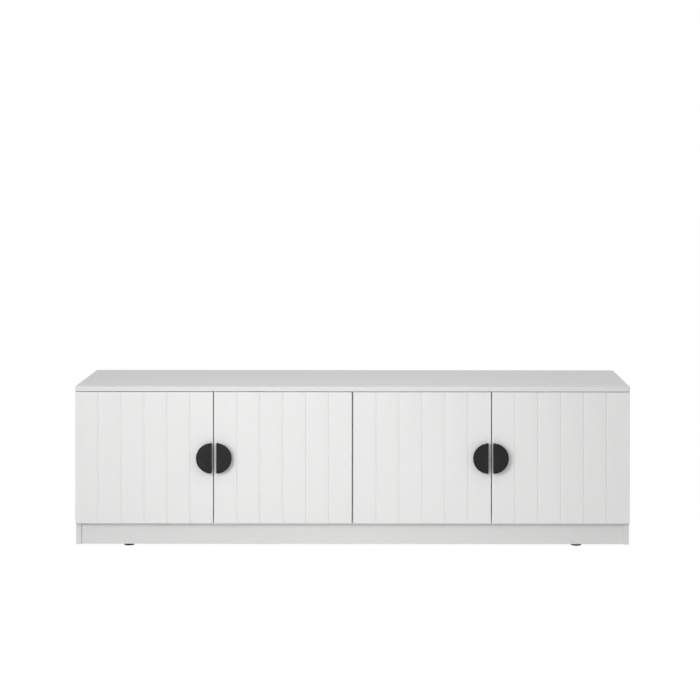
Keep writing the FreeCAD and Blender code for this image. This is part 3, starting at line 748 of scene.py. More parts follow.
@dataclass(frozen=True)
class Hardboard:
    """Thin hardboard: white foil on the inside, bare brown fibre with a screen pattern behind."""

    foil: Colour = (0.79, 0.785, 0.77, 1.0)
    fibre: Colour = (0.34, 0.205, 0.105, 1.0)
    pale_fibre: Colour = (0.44, 0.285, 0.16, 1.0)
    foil_depth: float = 0.25 * MM
    screen_per_metre: float = 640.0
    screen_relief: float = 0.05 * MM
    fuzz: Point = (260.0, 260.0, 700.0)
    fuzz_relief: float = 0.03 * MM
    mottling: Point = (9.0, 9.0, 6.0)
    mottling_share: float = 0.35
    foil_roughness: Span = (0.42, 0.5)
    bare_roughness: float = 0.28

    def make(self, name: str, front: float) -> Material:
        """The material of one back.

        Args:
            name: The material's name.
            front: The y of the back's inner face.

        Returns:
            The material.
        """
        sheet = MaterialSheet(name)
        foiled = sheet.math("LESS_THAN", sheet.axis["Y"], front + self.foil_depth)
        bare = sheet.math("SUBTRACT", 1.0, foiled)
        fuzz = sheet.noise(self.fuzz, detail=5.0, roughness=0.65)
        mottling = sheet.spread(sheet.noise(self.mottling), (0.0, self.mottling_share))
        brown = sheet.blend(sheet.spread(fuzz, (0.0, 1.0)), self.fibre, self.pale_fibre)
        brown = sheet.blend(mottling, brown, self.fibre)
        turn = 2 * math.pi * self.screen_per_metre
        waves = [sheet.math("SINE", sheet.math("MULTIPLY", sheet.axis[letter], turn)) for letter in "XZ"]
        screen = sheet.math("MULTIPLY", sheet.math("MULTIPLY", *waves), bare)
        roughness = sheet.math("ADD", sheet.math("MULTIPLY", bare, self.bare_roughness),
                               sheet.spread(fuzz, self.foil_roughness))
        return sheet.finish(sheet.blend(foiled, brown, self.foil), roughness,
                            ((screen, self.screen_relief), (fuzz, self.fuzz_relief)))


@dataclass(frozen=True)
class MouldedPlastic:
    """Matt black moulded plastic with a fine spark texture, rubbed a little paler in places."""

    black: Colour = (0.020, 0.020, 0.021, 1.0)
    rubbed: Colour = (0.045, 0.045, 0.047, 1.0)
    rubbed_share: float = 0.6
    rub: float = 70.0
    spark: float = 2200.0
    spark_relief: float = 0.03 * MM
    roughness: Span = (0.5, 0.68)
    specular: float = 0.3

    def make(self, name: str) -> Material:
        """The material of foot pads and brackets.

        Args:
            name: The material's name.

        Returns:
            The material.
        """
        sheet = MaterialSheet(name)
        spark = sheet.noise(evenly(self.spark), roughness=0.7)
        rub = sheet.spread(sheet.noise(evenly(self.rub), detail=4.0), (0.0, self.rubbed_share))
        sheet.set(Specular_IOR_Level=self.specular)
        return sheet.finish(sheet.blend(rub, self.black, self.rubbed),
                            sheet.spread(spark, self.roughness), ((spark, self.spark_relief),))


@dataclass(frozen=True)
class ClearBuffer:
    """Soft clear plastic, slightly milky."""

    milky: Colour = (0.80, 0.80, 0.78, 1.0)
    clearer: Colour = (0.90, 0.90, 0.89, 1.0)
    haze: float = 300.0
    roughness: Span = (0.18, 0.3)
    clearness: float = 0.55
    refraction: float = 1.46

    def make(self, name: str) -> Material:
        """The material of the door bumpers.

        Args:
            name: The material's name.

        Returns:
            The material.
        """
        sheet = MaterialSheet(name)
        haze = sheet.noise(evenly(self.haze), detail=2.0)
        sheet.set(Transmission_Weight=self.clearness, IOR=self.refraction)
        return sheet.finish(sheet.blend(haze, self.milky, self.clearer), sheet.spread(haze, self.roughness))


@dataclass
class Palette:
    """The materials that more than one piece shares."""

    steel: Material = field(init=False)
    charcoal: Material = field(init=False)
    zinc: Material = field(init=False)
    beech: Material = field(init=False)
    black: Material = field(init=False)
    clear: Material = field(init=False)

    def __post_init__(self) -> None:
        """Make each shared material once."""
        self.steel = PlatedSteel().make("nickel_plated_steel")
        self.charcoal = BrushedCharcoal().make("brushed_charcoal")
        self.zinc = CastZinc().make("cast_zinc")
        self.beech = TurnedBeech().make("turned_beech")
        self.black = MouldedPlastic().make("moulded_black_plastic")
        self.clear = ClearBuffer().make("clear_buffer")


# ---- Boards ----------------------------------------------------------------------------------------
def on_box_edge(edge: Edge, low: Vector, high: Vector) -> bool:
    """Whether an edge runs along one of the twelve edges of a box.

    Args:
        edge: The edge.
        low: The box's lowest corner.
        high: The box's highest corner.

    Returns:
        True if both of its ends lie on the same two faces of the box.
    """
    shared = sum(all(abs(vertex.co[axis] - side) < ON_PLANE for vertex in edge.verts)
                 for axis in range(3) for side in (low[axis], high[axis]))
    return shared == 2


@dataclass
class Board:
    """One flat board: its node, the axes whose edges are edged, and its softened arris."""

    node: str
    edged: str
    arris: float = 0.5 * MM
    corner: float = 0.0

    def build(self, frame: Frame, laminate: SatinLaminate) -> None:
        """Make the board with softened arrises and its own laminate.

        Args:
            frame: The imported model.
            laminate: The laminate's sizes and tones.
        """
        low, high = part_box(self.node)
        mesh = frame.merged(self.node)
        if self.arris:
            soften(mesh, [edge for edge in mesh.edges if on_box_edge(edge, low, high)], self.arris)
        finish = laminate.make(f"{self.node}_laminate", low, high, self.edged, self.corner)
        settle(even_shading(object_from(mesh, f"{self.node}_finished", finish)), frame, self.node)


@dataclass
class Carcass:
    """Every board of the cabinet's body, its two thin backs and its loose shelves."""

    laminate: SatinLaminate = SatinLaminate()
    # The plinth boards take a darker copy of the same laminate: painted shade for their place set back under
    # the doors.
    plinth_shaded_laminate: SatinLaminate = SatinLaminate(tone=(0.775, 0.774, 0.768, 1.0))
    hardboard: Hardboard = Hardboard()
    boards: Tuple[Board, ...] = (
        Board("top_panel", "XY", arris=0.0, corner=1.3 * MM),
        Board("left_side_panel", "Y"),
        Board("right_side_panel", "Y"),
        Board("centre_divider", "Y"),
        Board("bottom_panel", "Y"),
        Board("plinth_board", ""),
        Board("rear_plinth_board", ""),
        Board("plinth_brace", ""),
        Board("shelf_left", "XY"),
        Board("shelf_right", "XY"),
    )
    backs: Tuple[str, ...] = ("back_panel_left", "back_panel_right")

    def build(self, frame: Frame) -> None:
        """Make the boards and the backs.

        Args:
            frame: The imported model.
        """
        for board in self.boards:
            # Boards named plinth get the darker copy, which is painted shade.
            board.build(frame, self.plinth_shaded_laminate if "plinth" in board.node else self.laminate)
        for node in self.backs:
            finish = self.hardboard.make(f"{node}_hardboard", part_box(node)[0].y)
            settle(object_from(frame.merged(node), f"{node}_finished", finish), frame, node)


# ---- Doors, pulls and hinges -----------------------------------------------------------------------
@dataclass
class DoorLeaf:
    """One door: grooved and painted leaf, and the half-moon pull on its face."""

    number: int
    round_over: float = 1.2 * MM
    groove_depth: float = 1.7 * MM
    groove_arris: float = 0.25 * MM
    pull_arris: float = 0.5 * MM
    pull_hard_turn: float = 60.0
    pull_shortest: float = 5 * MM
    paint: SatinPaint = SatinPaint()

    def build(self, frame: Frame, palette: Palette) -> None:
        """Make the leaf and its pull."""
        self.build_leaf(frame, f"door_{self.number}_panel")
        self.build_pull(frame, f"door_{self.number}_handle", palette.charcoal)

    def build_leaf(self, frame: Frame, node: str) -> None:
        """Paint the leaf, with the lips of its grooves softened.

        Args:
            frame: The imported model.
            node: The leaf's node.
        """
        low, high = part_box(node)
        mesh = frame.merged(node)
        lips = []
        for edge in mesh.edges:
            first, second = (vertex.co for vertex in edge.verts)
            upright = abs(first.z - second.z) > 0.5 * (high.z - low.z)
            on_face = all(abs(end.y - low.y) < ON_PLANE for end in (first, second))
            if upright and on_face and min(first.x - low.x, high.x - first.x) > 3 * self.round_over:
                lips.append(edge)
        soften(mesh, lips, self.groove_arris)
        finish = self.paint.make(f"door_{self.number}_paint", low, high, self.round_over, self.groove_depth)
        settle(even_shading(object_from(mesh, f"{node}_finished", finish)), frame, node)

    def build_pull(self, frame: Frame, node: str, finish: Material) -> None:
        """Soften the pull's remaining long edges and give it its lacquer.

        Args:
            frame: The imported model.
            node: The pull's node.
            finish: The lacquer.
        """
        mesh = frame.merged(node)
        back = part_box(node)[1].y
        hard = [edge for edge in hard_edges(mesh, self.pull_hard_turn, self.pull_shortest)
                if not all(abs(vertex.co.y - back) < ON_PLANE for vertex in edge.verts)]
        soften(mesh, hard, self.pull_arris)
        settle(even_shading(object_from(mesh, f"{node}_finished", finish)), frame, node)


@dataclass
class HingeSteel:
    """Pressed-steel hinge parts: cups on the doors, and arms and plates in the cabinet."""

    arris: float = 0.22 * MM
    hard_turn: float = 55.0
    shortest: float = 1.6 * MM
    nodes: Tuple[str, ...] = ("hinge_arms", "hinge_plates", "door_1_hinge_cups", "door_2_hinge_cups",
                              "door_3_hinge_cups", "door_4_hinge_cups")

    def build(self, frame: Frame, palette: Palette) -> None:
        """Make every hinge part with its pressed edges broken.

        Args:
            frame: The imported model.
            palette: The shared materials.
        """
        for node in self.nodes:
            mesh = frame.merged(node)
            soften(mesh, hard_edges(mesh, self.hard_turn, self.shortest), self.arris, segments=1)
            settle(even_shading(object_from(mesh, f"{node}_finished", palette.steel)), frame, node)


# ---- What repeats, made with geometry nodes --------------------------------------------------------
class NodeProgram(NodeSheet):
    """A geometry node tree under construction, with named inputs."""

    def __init__(self, name: str) -> None:
        """Start a tree that takes a mesh of points and gives geometry back.

        Args:
            name: The tree's name.
        """
        self.tree = bpy.data.node_groups.new(name, "GeometryNodeTree")
        for direction in ("INPUT", "OUTPUT"):
            self.tree.interface.new_socket("Geometry", in_out=direction, socket_type="NodeSocketGeometry")
        self.given = self.tree.nodes.new("NodeGroupInput")
        self.result = self.tree.nodes.new("NodeGroupOutput")
        self.identifiers: Dict[str, str] = {}

    def input(self, name: str, kind: str = "NodeSocketFloat") -> Socket:
        """Add a named input.

        Args:
            name: Its name.
            kind: Its type of socket.

        Returns:
            Its socket inside the tree.
        """
        item = self.tree.interface.new_socket(name, in_out="INPUT", socket_type=kind)
        self.identifiers[name] = item.identifier
        return self.given.outputs[name]

    def node(self, kind: str, settings: Optional[dict] = None, **values: object) -> bpy.types.Node:
        """Add a node.

        Args:
            kind: The node's type, without its GeometryNode prefix where it has one.
            settings: Properties of the node itself.
            values: Input values or sockets, by input name with _ for a space.

        Returns:
            The node.
        """
        prefixed = f"GeometryNode{kind}"
        node = self.tree.nodes.new(prefixed if hasattr(bpy.types, prefixed) else kind)
        for name, value in (settings or {}).items():
            setattr(node, name, value)
        for name, value in values.items():
            self.feed(value, node.inputs[name.replace("_", " ")])
        return node

    def vector(self, x: Value = 0.0, y: Value = 0.0, z: Value = 0.0) -> Socket:
        """A vector from three numbers or sockets."""
        return self.node("ShaderNodeCombineXYZ", X=x, Y=y, Z=z).outputs[0]

    def moved(self, geometry: Socket, offset: Socket) -> Socket:
        """Geometry shifted by an offset."""
        return self.node("Transform", Geometry=geometry, Translation=offset).outputs[0]

    def joined(self, parts: Sequence[Socket]) -> Socket:
        """Several geometries as one.

        Args:
            parts: The geometries.

        Returns:
            All of them together.
        """
        node = self.node("JoinGeometry")
        for part in parts:
            self.tree.links.new(part, node.inputs[0])
        return node.outputs[0]

    def aimed(self) -> Socket:
        """The rotation that brings a shape's Z on each point's stored aim."""
        aim = self.node("InputNamedAttribute", {"data_type": "FLOAT_VECTOR"}, Name="aim")
        return self.node("FunctionNodeAlignRotationToVector", {"axis": "Z"}, Vector=aim.outputs[0]).outputs[0]

    def placed(self, shape: Socket, rotation: Socket) -> Socket:
        """One instance of a shape at every given point."""
        return self.node("InstanceOnPoints", Points=self.given.outputs[0], Instance=shape,
                         Rotation=rotation).outputs[0]

    def scatter(self, shape: Socket, seed: int) -> Socket:
        """The shape at every given point, its Z along the point's aim, turned by a fixed random angle.

        Args:
            shape: The geometry to repeat.
            seed: Seed of the random turns.

        Returns:
            The instances.
        """
        points = self.placed(shape, self.aimed())
        turn = self.node("FunctionNodeRandomValue", {"data_type": "FLOAT"}, Seed=seed)
        turn.inputs[3].default_value = 2 * math.pi
        return self.node("RotateInstances", Instances=points, Rotation=self.vector(z=turn.outputs[1]),
                         Local_Space=True).outputs[0]

    def close(self, geometry: Socket) -> None:
        """End the tree in Realize Instances and Set Material, fed by a Material input.

        Args:
            geometry: The geometry so far.
        """
        finish = self.input("Material", "NodeSocketMaterial")
        real = self.node("RealizeInstances", Geometry=geometry)
        dressed = self.node("SetMaterial", Geometry=real.outputs[0], Material=finish)
        self.tree.links.new(dressed.outputs[0], self.result.inputs[0])

    def run(self, name: str, points: Sequence[Point], aims: Sequence[Point],
            values: Dict[str, object]) -> Piece:
        """Run the tree over a set of points and keep the result as a plain mesh.

        Args:
            name: The piece's name.
            points: Where the shapes go.
            aims: Which way each shape's Z points.
            values: The named inputs.

        Returns:
            A mesh object with no modifier.
        """
        mesh = bpy.data.meshes.new(name)
        mesh.from_pydata([tuple(p) for p in points], [], [])
        directions = mesh.attributes.new("aim", "FLOAT_VECTOR", "POINT")
        directions.data.foreach_set("vector", np.array(aims, np.float32).ravel())
        piece = bpy.data.objects.new(name, mesh)
        bpy.context.scene.collection.objects.link(piece)
        modifier = piece.modifiers.new("repeat", "NODES")
        modifier.node_group = self.tree
        for input_name, value in values.items():
            modifier[self.identifiers[input_name]] = value
        return baked(piece)


class Drive(Enum):
    """How a fastener is turned."""

    CROSS = "cross"
    NONE = "none"


class FastenerTree:
    """Geometry nodes for one sort of screw or nail: a tapered head, a shank and a rolled thread."""

    HEAD_SIDES = 28
    SHANK_SIDES = 18
    THREAD_STEPS = 16            # points of the thread in one turn
    THREAD_SIDES = 4             # sides of the thread's section
    THREAD_HEIGHT = 0.30         # as a share of the pitch
    THREAD_RUN = 0.86            # as a share of the shank
    THREAD_END = 0.96            # as a share of the shank, from the head
    CROSS_LONG = 1.05            # the recess's bars, as shares of the head's radius
    CROSS_SHORT = 0.26
    CROSS_DEPTH = 1.2            # as a share of the head's height

    def __init__(self, drive: Drive, threaded: bool, seed: int) -> None:
        """Build the tree.

        Args:
            drive: The recess in the head.
            threaded: Whether the shank has a thread.
            seed: Seed of the random turns of the heads.
        """
        program = NodeProgram(f"fastener_{drive.value}_{seed}")
        self.program = program
        head_radius, head_height, shank_radius, length, pitch, crown = (
            program.input(name) for name in ("Head radius", "Head height", "Shank radius", "Length",
                                             "Thread pitch", "Crown share"))
        head = program.node("MeshCone", Vertices=self.HEAD_SIDES, Radius_Bottom=head_radius,
                            Radius_Top=program.math("MULTIPLY", head_radius, crown),
                            Depth=head_height).outputs["Mesh"]
        if drive is Drive.CROSS:
            head = self.with_cross(head, head_radius, head_height)
        depth = program.math("MULTIPLY", pitch, self.THREAD_HEIGHT)
        core = program.math("SUBTRACT", shank_radius, depth if threaded else 0.0)
        shank = program.node("MeshCylinder", Vertices=self.SHANK_SIDES, Radius=core, Depth=length)
        half_down = program.vector(z=program.math("MULTIPLY", length, -0.5))
        parts = [head, program.moved(shank.outputs["Mesh"], half_down)]
        if threaded:
            parts.append(self.thread(core, depth, pitch, length))
        program.close(program.scatter(program.joined(parts), seed))

    def with_cross(self, head: Socket, radius: Socket, height: Socket) -> Socket:
        """The head with a cross recess sunk into its top.

        Args:
            head: The plain head.
            radius: Its radius.
            height: Its height.

        Returns:
            The head with its recess.
        """
        program = self.program
        long_side = program.math("MULTIPLY", radius, self.CROSS_LONG)
        short_side = program.math("MULTIPLY", radius, self.CROSS_SHORT)
        depth = program.math("MULTIPLY", height, self.CROSS_DEPTH)
        cutter = program.node("MeshBoolean", {"operation": "DIFFERENCE"})
        program.tree.links.new(head, cutter.inputs[0])
        for sides in ((long_side, short_side), (short_side, long_side)):
            bar = program.node("MeshCube", Size=program.vector(*sides, depth)).outputs["Mesh"]
            program.tree.links.new(program.moved(bar, program.vector(z=height)), cutter.inputs[1])
        return cutter.outputs[0]

    def thread(self, core: Socket, depth: Socket, pitch: Socket, length: Socket) -> Socket:
        """A ridge that winds round the shank.

        Args:
            core: Radius under the thread.
            depth: Height of the ridge.
            pitch: Rise of one turn.
            length: Length of the shank.

        Returns:
            The ridge's mesh.
        """
        program = self.program
        run = program.math("MULTIPLY", length, self.THREAD_RUN)
        helix = program.node("CurveSpiral", Resolution=self.THREAD_STEPS,
                             Rotations=program.math("DIVIDE", run, pitch),
                             Start_Radius=core, End_Radius=core, Height=run)
        section = program.node("CurvePrimitiveCircle", {"mode": "RADIUS"}, Resolution=self.THREAD_SIDES)
        program.feed(depth, section.inputs["Radius"])
        ridge = program.node("CurveToMesh", Curve=helix.outputs[0], Profile_Curve=section.outputs[0],
                             Fill_Caps=True)
        return program.moved(ridge.outputs[0],
                             program.vector(z=program.math("MULTIPLY", length, -self.THREAD_END)))


@dataclass(frozen=True)
class FastenerKind:
    """What one sort of fastener looks like beyond the sizes that the frame gives."""

    suffix: str
    drive: Drive
    threaded: bool
    pitch: float
    crown: float
    seed: int


@dataclass
class Fasteners:
    """Every screw and nail, read from the frame's plain solids and made with heads and threads."""

    sunk_head: float = 2.2 * MM  # height of a head whose solid tapers right from its face
    kinds: Tuple[FastenerKind, ...] = (
        FastenerKind("plate_screws", Drive.CROSS, True, 2.2 * MM, 0.74, 3),
        FastenerKind("arm_screws", Drive.CROSS, True, 0.7 * MM, 0.80, 5),
        FastenerKind("bracket_screws", Drive.CROSS, True, 1.8 * MM, 0.66, 7),
        FastenerKind("divider_screws", Drive.CROSS, True, 2.2 * MM, 0.92, 11),
        FastenerKind("back_panel_nails", Drive.NONE, False, 1.0 * MM, 0.86, 13),
        FastenerKind("cup_screws", Drive.CROSS, True, 1.6 * MM, 0.66, 17),
        FastenerKind("handle_screws", Drive.CROSS, True, 0.7 * MM, 0.70, 19),
    )

    def build(self, frame: Frame, palette: Palette) -> None:
        """Make one mesh of fasteners for each node that holds them.

        Args:
            frame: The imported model.
            palette: The shared materials.
        """
        for kind in self.kinds:
            tree = FastenerTree(kind.drive, kind.threaded, kind.seed)
            for node in sorted(name for name in frame.nodes if name.endswith(kind.suffix)):
                seats, aims, sizes = self.measure(frame.solids(node))
                values = {**sizes, "Thread pitch": kind.pitch, "Crown share": kind.crown,
                          "Material": palette.steel}
                settle(tree.program.run(f"{node}_finished", seats, aims, values), frame, node)

    def measure(self, clouds: Sequence[np.ndarray]) -> Tuple[List[Point], List[Point], Dict[str, float]]:
        """Find where each fastener sits, which way its head faces, and how large it is.

        Args:
            clouds: Corner points of each fastener's solid.

        Returns:
            Seats under the heads, directions out of the heads, and the sizes they share.
        """
        seats, aims, sizes = [], [], {}
        for cloud in clouds:
            low, high = cloud.min(0), cloud.max(0)
            axis = int(np.argmax(high - low))
            seat = (low + high) / 2
            radial, along = radii(cloud, axis), cloud[:, axis]
            wide = along[radial > RIM_SHARE * radial.max()]
            sign = 1.0 if wide.mean() > seat[axis] else -1.0
            face, tip = (high[axis], low[axis]) if sign > 0 else (low[axis], high[axis])
            height = float(np.abs(face - wide).max())
            if height < ON_PLANE:
                height = self.sunk_head
            seat[axis] = face - sign * height
            aim = np.zeros(3)
            aim[axis] = sign
            seats.append(tuple(seat))
            aims.append(tuple(aim))
            sizes = {"Head radius": float(radial.max()), "Head height": height,
                     "Shank radius": float(radial[np.abs(along - tip) < ON_PLANE].max()),
                     "Length": float(high[axis] - low[axis]) - height}
        return seats, aims, sizes


# ---- Joint fittings --------------------------------------------------------------------------------
def lathe(mesh: Mesh, profile: Sequence[Tuple[float, float]], seat: Vector, aim: Vector,
          sides: int = 24, flutes: float = 0.0) -> None:
    """Turn a closed solid of revolution into a mesh.

    Args:
        mesh: The mesh to add to.
        profile: Pairs of radius and height, from the lower pole to the upper one.
        seat: Where height 0 is.
        aim: Which way the axis points.
        sides: Faces round the axis.
        flutes: Depth of flutes cut along the turned sides.
    """
    placed = Matrix.Translation(seat) @ aim.normalized().to_track_quat("Z", "Y").to_matrix().to_4x4()
    rings = []
    for radius, height in profile:
        if radius < AT_POLE:
            rings.append([mesh.verts.new(placed @ Vector((0.0, 0.0, height)))])
            continue
        ring = []
        for step in range(sides):
            angle = 2 * math.pi * step / sides
            reach = radius - (flutes if step % 2 else 0.0)
            spot = Vector((reach * math.cos(angle), reach * math.sin(angle), height))
            ring.append(mesh.verts.new(placed @ spot))
        rings.append(ring)
    for below, above in zip(rings, rings[1:]):
        for step in range(sides):
            after = (step + 1) % sides
            if len(below) == 1:
                mesh.faces.new((below[0], above[after], above[step]))
            elif len(above) == 1:
                mesh.faces.new((below[step], below[after], above[0]))
            else:
                mesh.faces.new((below[step], below[after], above[after], above[step]))


@dataclass
class JointFittings:
    """Cams, cam bolts, dowels, shelf pins, hinge pins and door bumpers."""

    cam_arris: float = 0.2 * MM
    cam_hard_turn: float = 60.0
    cam_shortest: float = 1.2 * MM
    pin_round: float = 0.18          # as a share of the pin's radius
    dowel_chamfer: float = 0.3       # as a share of the dowel's radius
    dowel_sides: int = 32
    dowel_flutes: float = 0.25 * MM
    bolt_neck: float = 0.53          # the bolt's radii, as shares of its shank's
    bolt_head: float = 0.94
    bolt_thread: float = 0.85
    bolt_root: float = 0.8           # as a share of the thread's radius
    bolt_ball: Span = (0.8 * MM, 1.7 * MM)
    bolt_throat: Span = (2.4 * MM, 6.9 * MM)
    bolt_shank: float = 7.0 * MM
    bolt_threaded: float = 11.0 * MM
    bolt_ridges: int = 6
    bolt_ridge_run: float = 10.4 * MM
    bolt_gap: float = 0.2 * MM
    bumper_wall: float = 0.45        # as a share of the bumper's height
    bumper_angles: Tuple[float, ...] = (0.0, 0.35, 0.7, 1.05, 1.35)

    def build(self, frame: Frame, palette: Palette) -> None:
        """Make each group of fittings.

        Args:
            frame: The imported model.
            palette: The shared materials.
        """
        cams = frame.merged("cam_locks")
        soften(cams, hard_edges(cams, self.cam_hard_turn, self.cam_shortest), self.cam_arris, segments=1)
        settle(object_from(cams, "cam_locks_finished", palette.zinc), frame, "cam_locks")
        self.turned(frame, "cam_bolts", palette.steel, self.bolt_profile)
        self.turned(frame, "dowels", palette.beech, self.dowel_profile, self.dowel_sides, self.dowel_flutes)
        self.turned(frame, "shelf_pins", palette.steel, self.pin_profile)
        self.turned(frame, "door_bumpers", palette.clear, self.bumper_profile, flat=True)
        for number in (1, 2, 3, 4):
            self.turned(frame, f"door_{number}_hinge_pins", palette.steel, self.pin_profile)

    def turned(self, frame: Frame, node: str, finish: Material, profile: Callable[[float, float], Outline],
               sides: int = 24, flutes: float = 0.0, flat: bool = False) -> None:
        """Make every solid of a node as a turned part.

        Args:
            frame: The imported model.
            node: The node.
            finish: Its material.
            profile: Gives the outline for a length and a radius.
            sides: Faces round the axis.
            flutes: Depth of flutes along the part.
            flat: Whether the solid is a disc, whose axis is its shortest side.
        """
        mesh = bmesh.new()
        for cloud in frame.solids(node):
            low, high = cloud.min(0), cloud.max(0)
            spans = high - low
            axis = int(np.argmin(spans) if flat else np.argmax(spans))
            seat = Vector((low + high) / 2)
            radial = radii(cloud, axis)
            wide = cloud[radial > RIM_SHARE * radial.max(), axis].mean()
            sign = -1.0 if flat or wide > (low[axis] + high[axis]) / 2 else 1.0
            seat[axis] = high[axis] if sign < 0 else low[axis]
            aim = Vector((0.0, 0.0, 0.0))
            aim[axis] = sign
            lathe(mesh, profile(float(spans[axis]), float(radial.max())), seat, aim, sides, flutes)
        bmesh.ops.recalc_face_normals(mesh, faces=mesh.faces)
        settle(object_from(mesh, f"{node}_finished", finish), frame, node)

    def pin_profile(self, length: float, radius: float) -> Outline:
        """Straight pin with broken edges."""
        return self.broken_rod(length, radius, self.pin_round * radius)

    def dowel_profile(self, length: float, radius: float) -> Outline:
        """Dowel with well-chamfered ends."""
        return self.broken_rod(length, radius, self.dowel_chamfer * radius)

    @staticmethod
    def broken_rod(length: float, radius: float, chamfer: float) -> Outline:
        """A rod with a chamfer at both ends."""
        return [(0, 0), (radius - chamfer, 0), (radius, chamfer), (radius, length - chamfer),
                (radius - chamfer, length), (0, length)]

    def bolt_profile(self, length: float, radius: float) -> Outline:
        """Cam bolt: ball head, thin neck, shank, and a threaded end drawn as fine ridges.

        Args:
            length: The bolt's length.
            radius: Radius of its shank.

        Returns:
            The outline.
        """
        neck, head, thread = (share * radius for share in (self.bolt_neck, self.bolt_head, self.bolt_thread))
        root = self.bolt_root * thread
        shank_end = length - self.bolt_threaded
        outline = [(0, 0), (0.7 * head, 0), (head, self.bolt_ball[0]), (head, self.bolt_ball[1]),
                   (neck, self.bolt_throat[0]), (neck, self.bolt_throat[1]), (radius, self.bolt_shank),
                   (radius, shank_end - self.bolt_gap), (root, shank_end)]
        pitch = self.bolt_ridge_run / self.bolt_ridges
        for step in range(self.bolt_ridges):
            base = shank_end + self.bolt_gap + step * pitch
            outline += [(root, base), (thread, base + 0.45 * pitch), (root, base + 0.9 * pitch)]
        return outline + [(0.5 * thread, length), (0, length)]

    def bumper_profile(self, length: float, radius: float) -> Outline:
        """Flat-based dome.

        Args:
            length: The bumper's height.
            radius: Its radius.

        Returns:
            The outline.
        """
        wall, rise = self.bumper_wall * length, (1.0 - self.bumper_wall) * length
        dome = [(radius * math.cos(a), wall + rise * math.sin(a)) for a in self.bumper_angles]
        return [(0, 0), (radius, 0)] + dome + [(0, length)]


# ---- Feet ------------------------------------------------------------------------------------------
class RibTree:
    """Geometry nodes for the grip ribs round a foot pad."""

    SIDES = 8
    CROWN = 0.72                 # width of a rib's outer face, as a share of its foot

    def __init__(self) -> None:
        """Build the tree: a soft-edged rib at every given point, its Z pointing outwards."""
        program = NodeProgram("pad_ribs")
        self.program = program
        width, height, depth = (program.input(name) for name in ("Rib width", "Rib height", "Rib depth"))
        rib = program.node("MeshCone", Vertices=self.SIDES, Radius_Bottom=1.0, Radius_Top=self.CROWN,
                           Depth=1.0)
        half_height, half_width = (program.math("MULTIPLY", side, 0.5) for side in (height, width))
        shaped = program.node("Transform", Geometry=rib.outputs["Mesh"],
                              Scale=program.vector(half_height, half_width, depth))
        upright = program.node("FunctionNodeAlignRotationToVector", {"axis": "X", "pivot_axis": "Z"},
                               Rotation=program.aimed(), Vector=tuple(UP))
        program.close(program.placed(shaped.outputs[0], upright.outputs[0]))


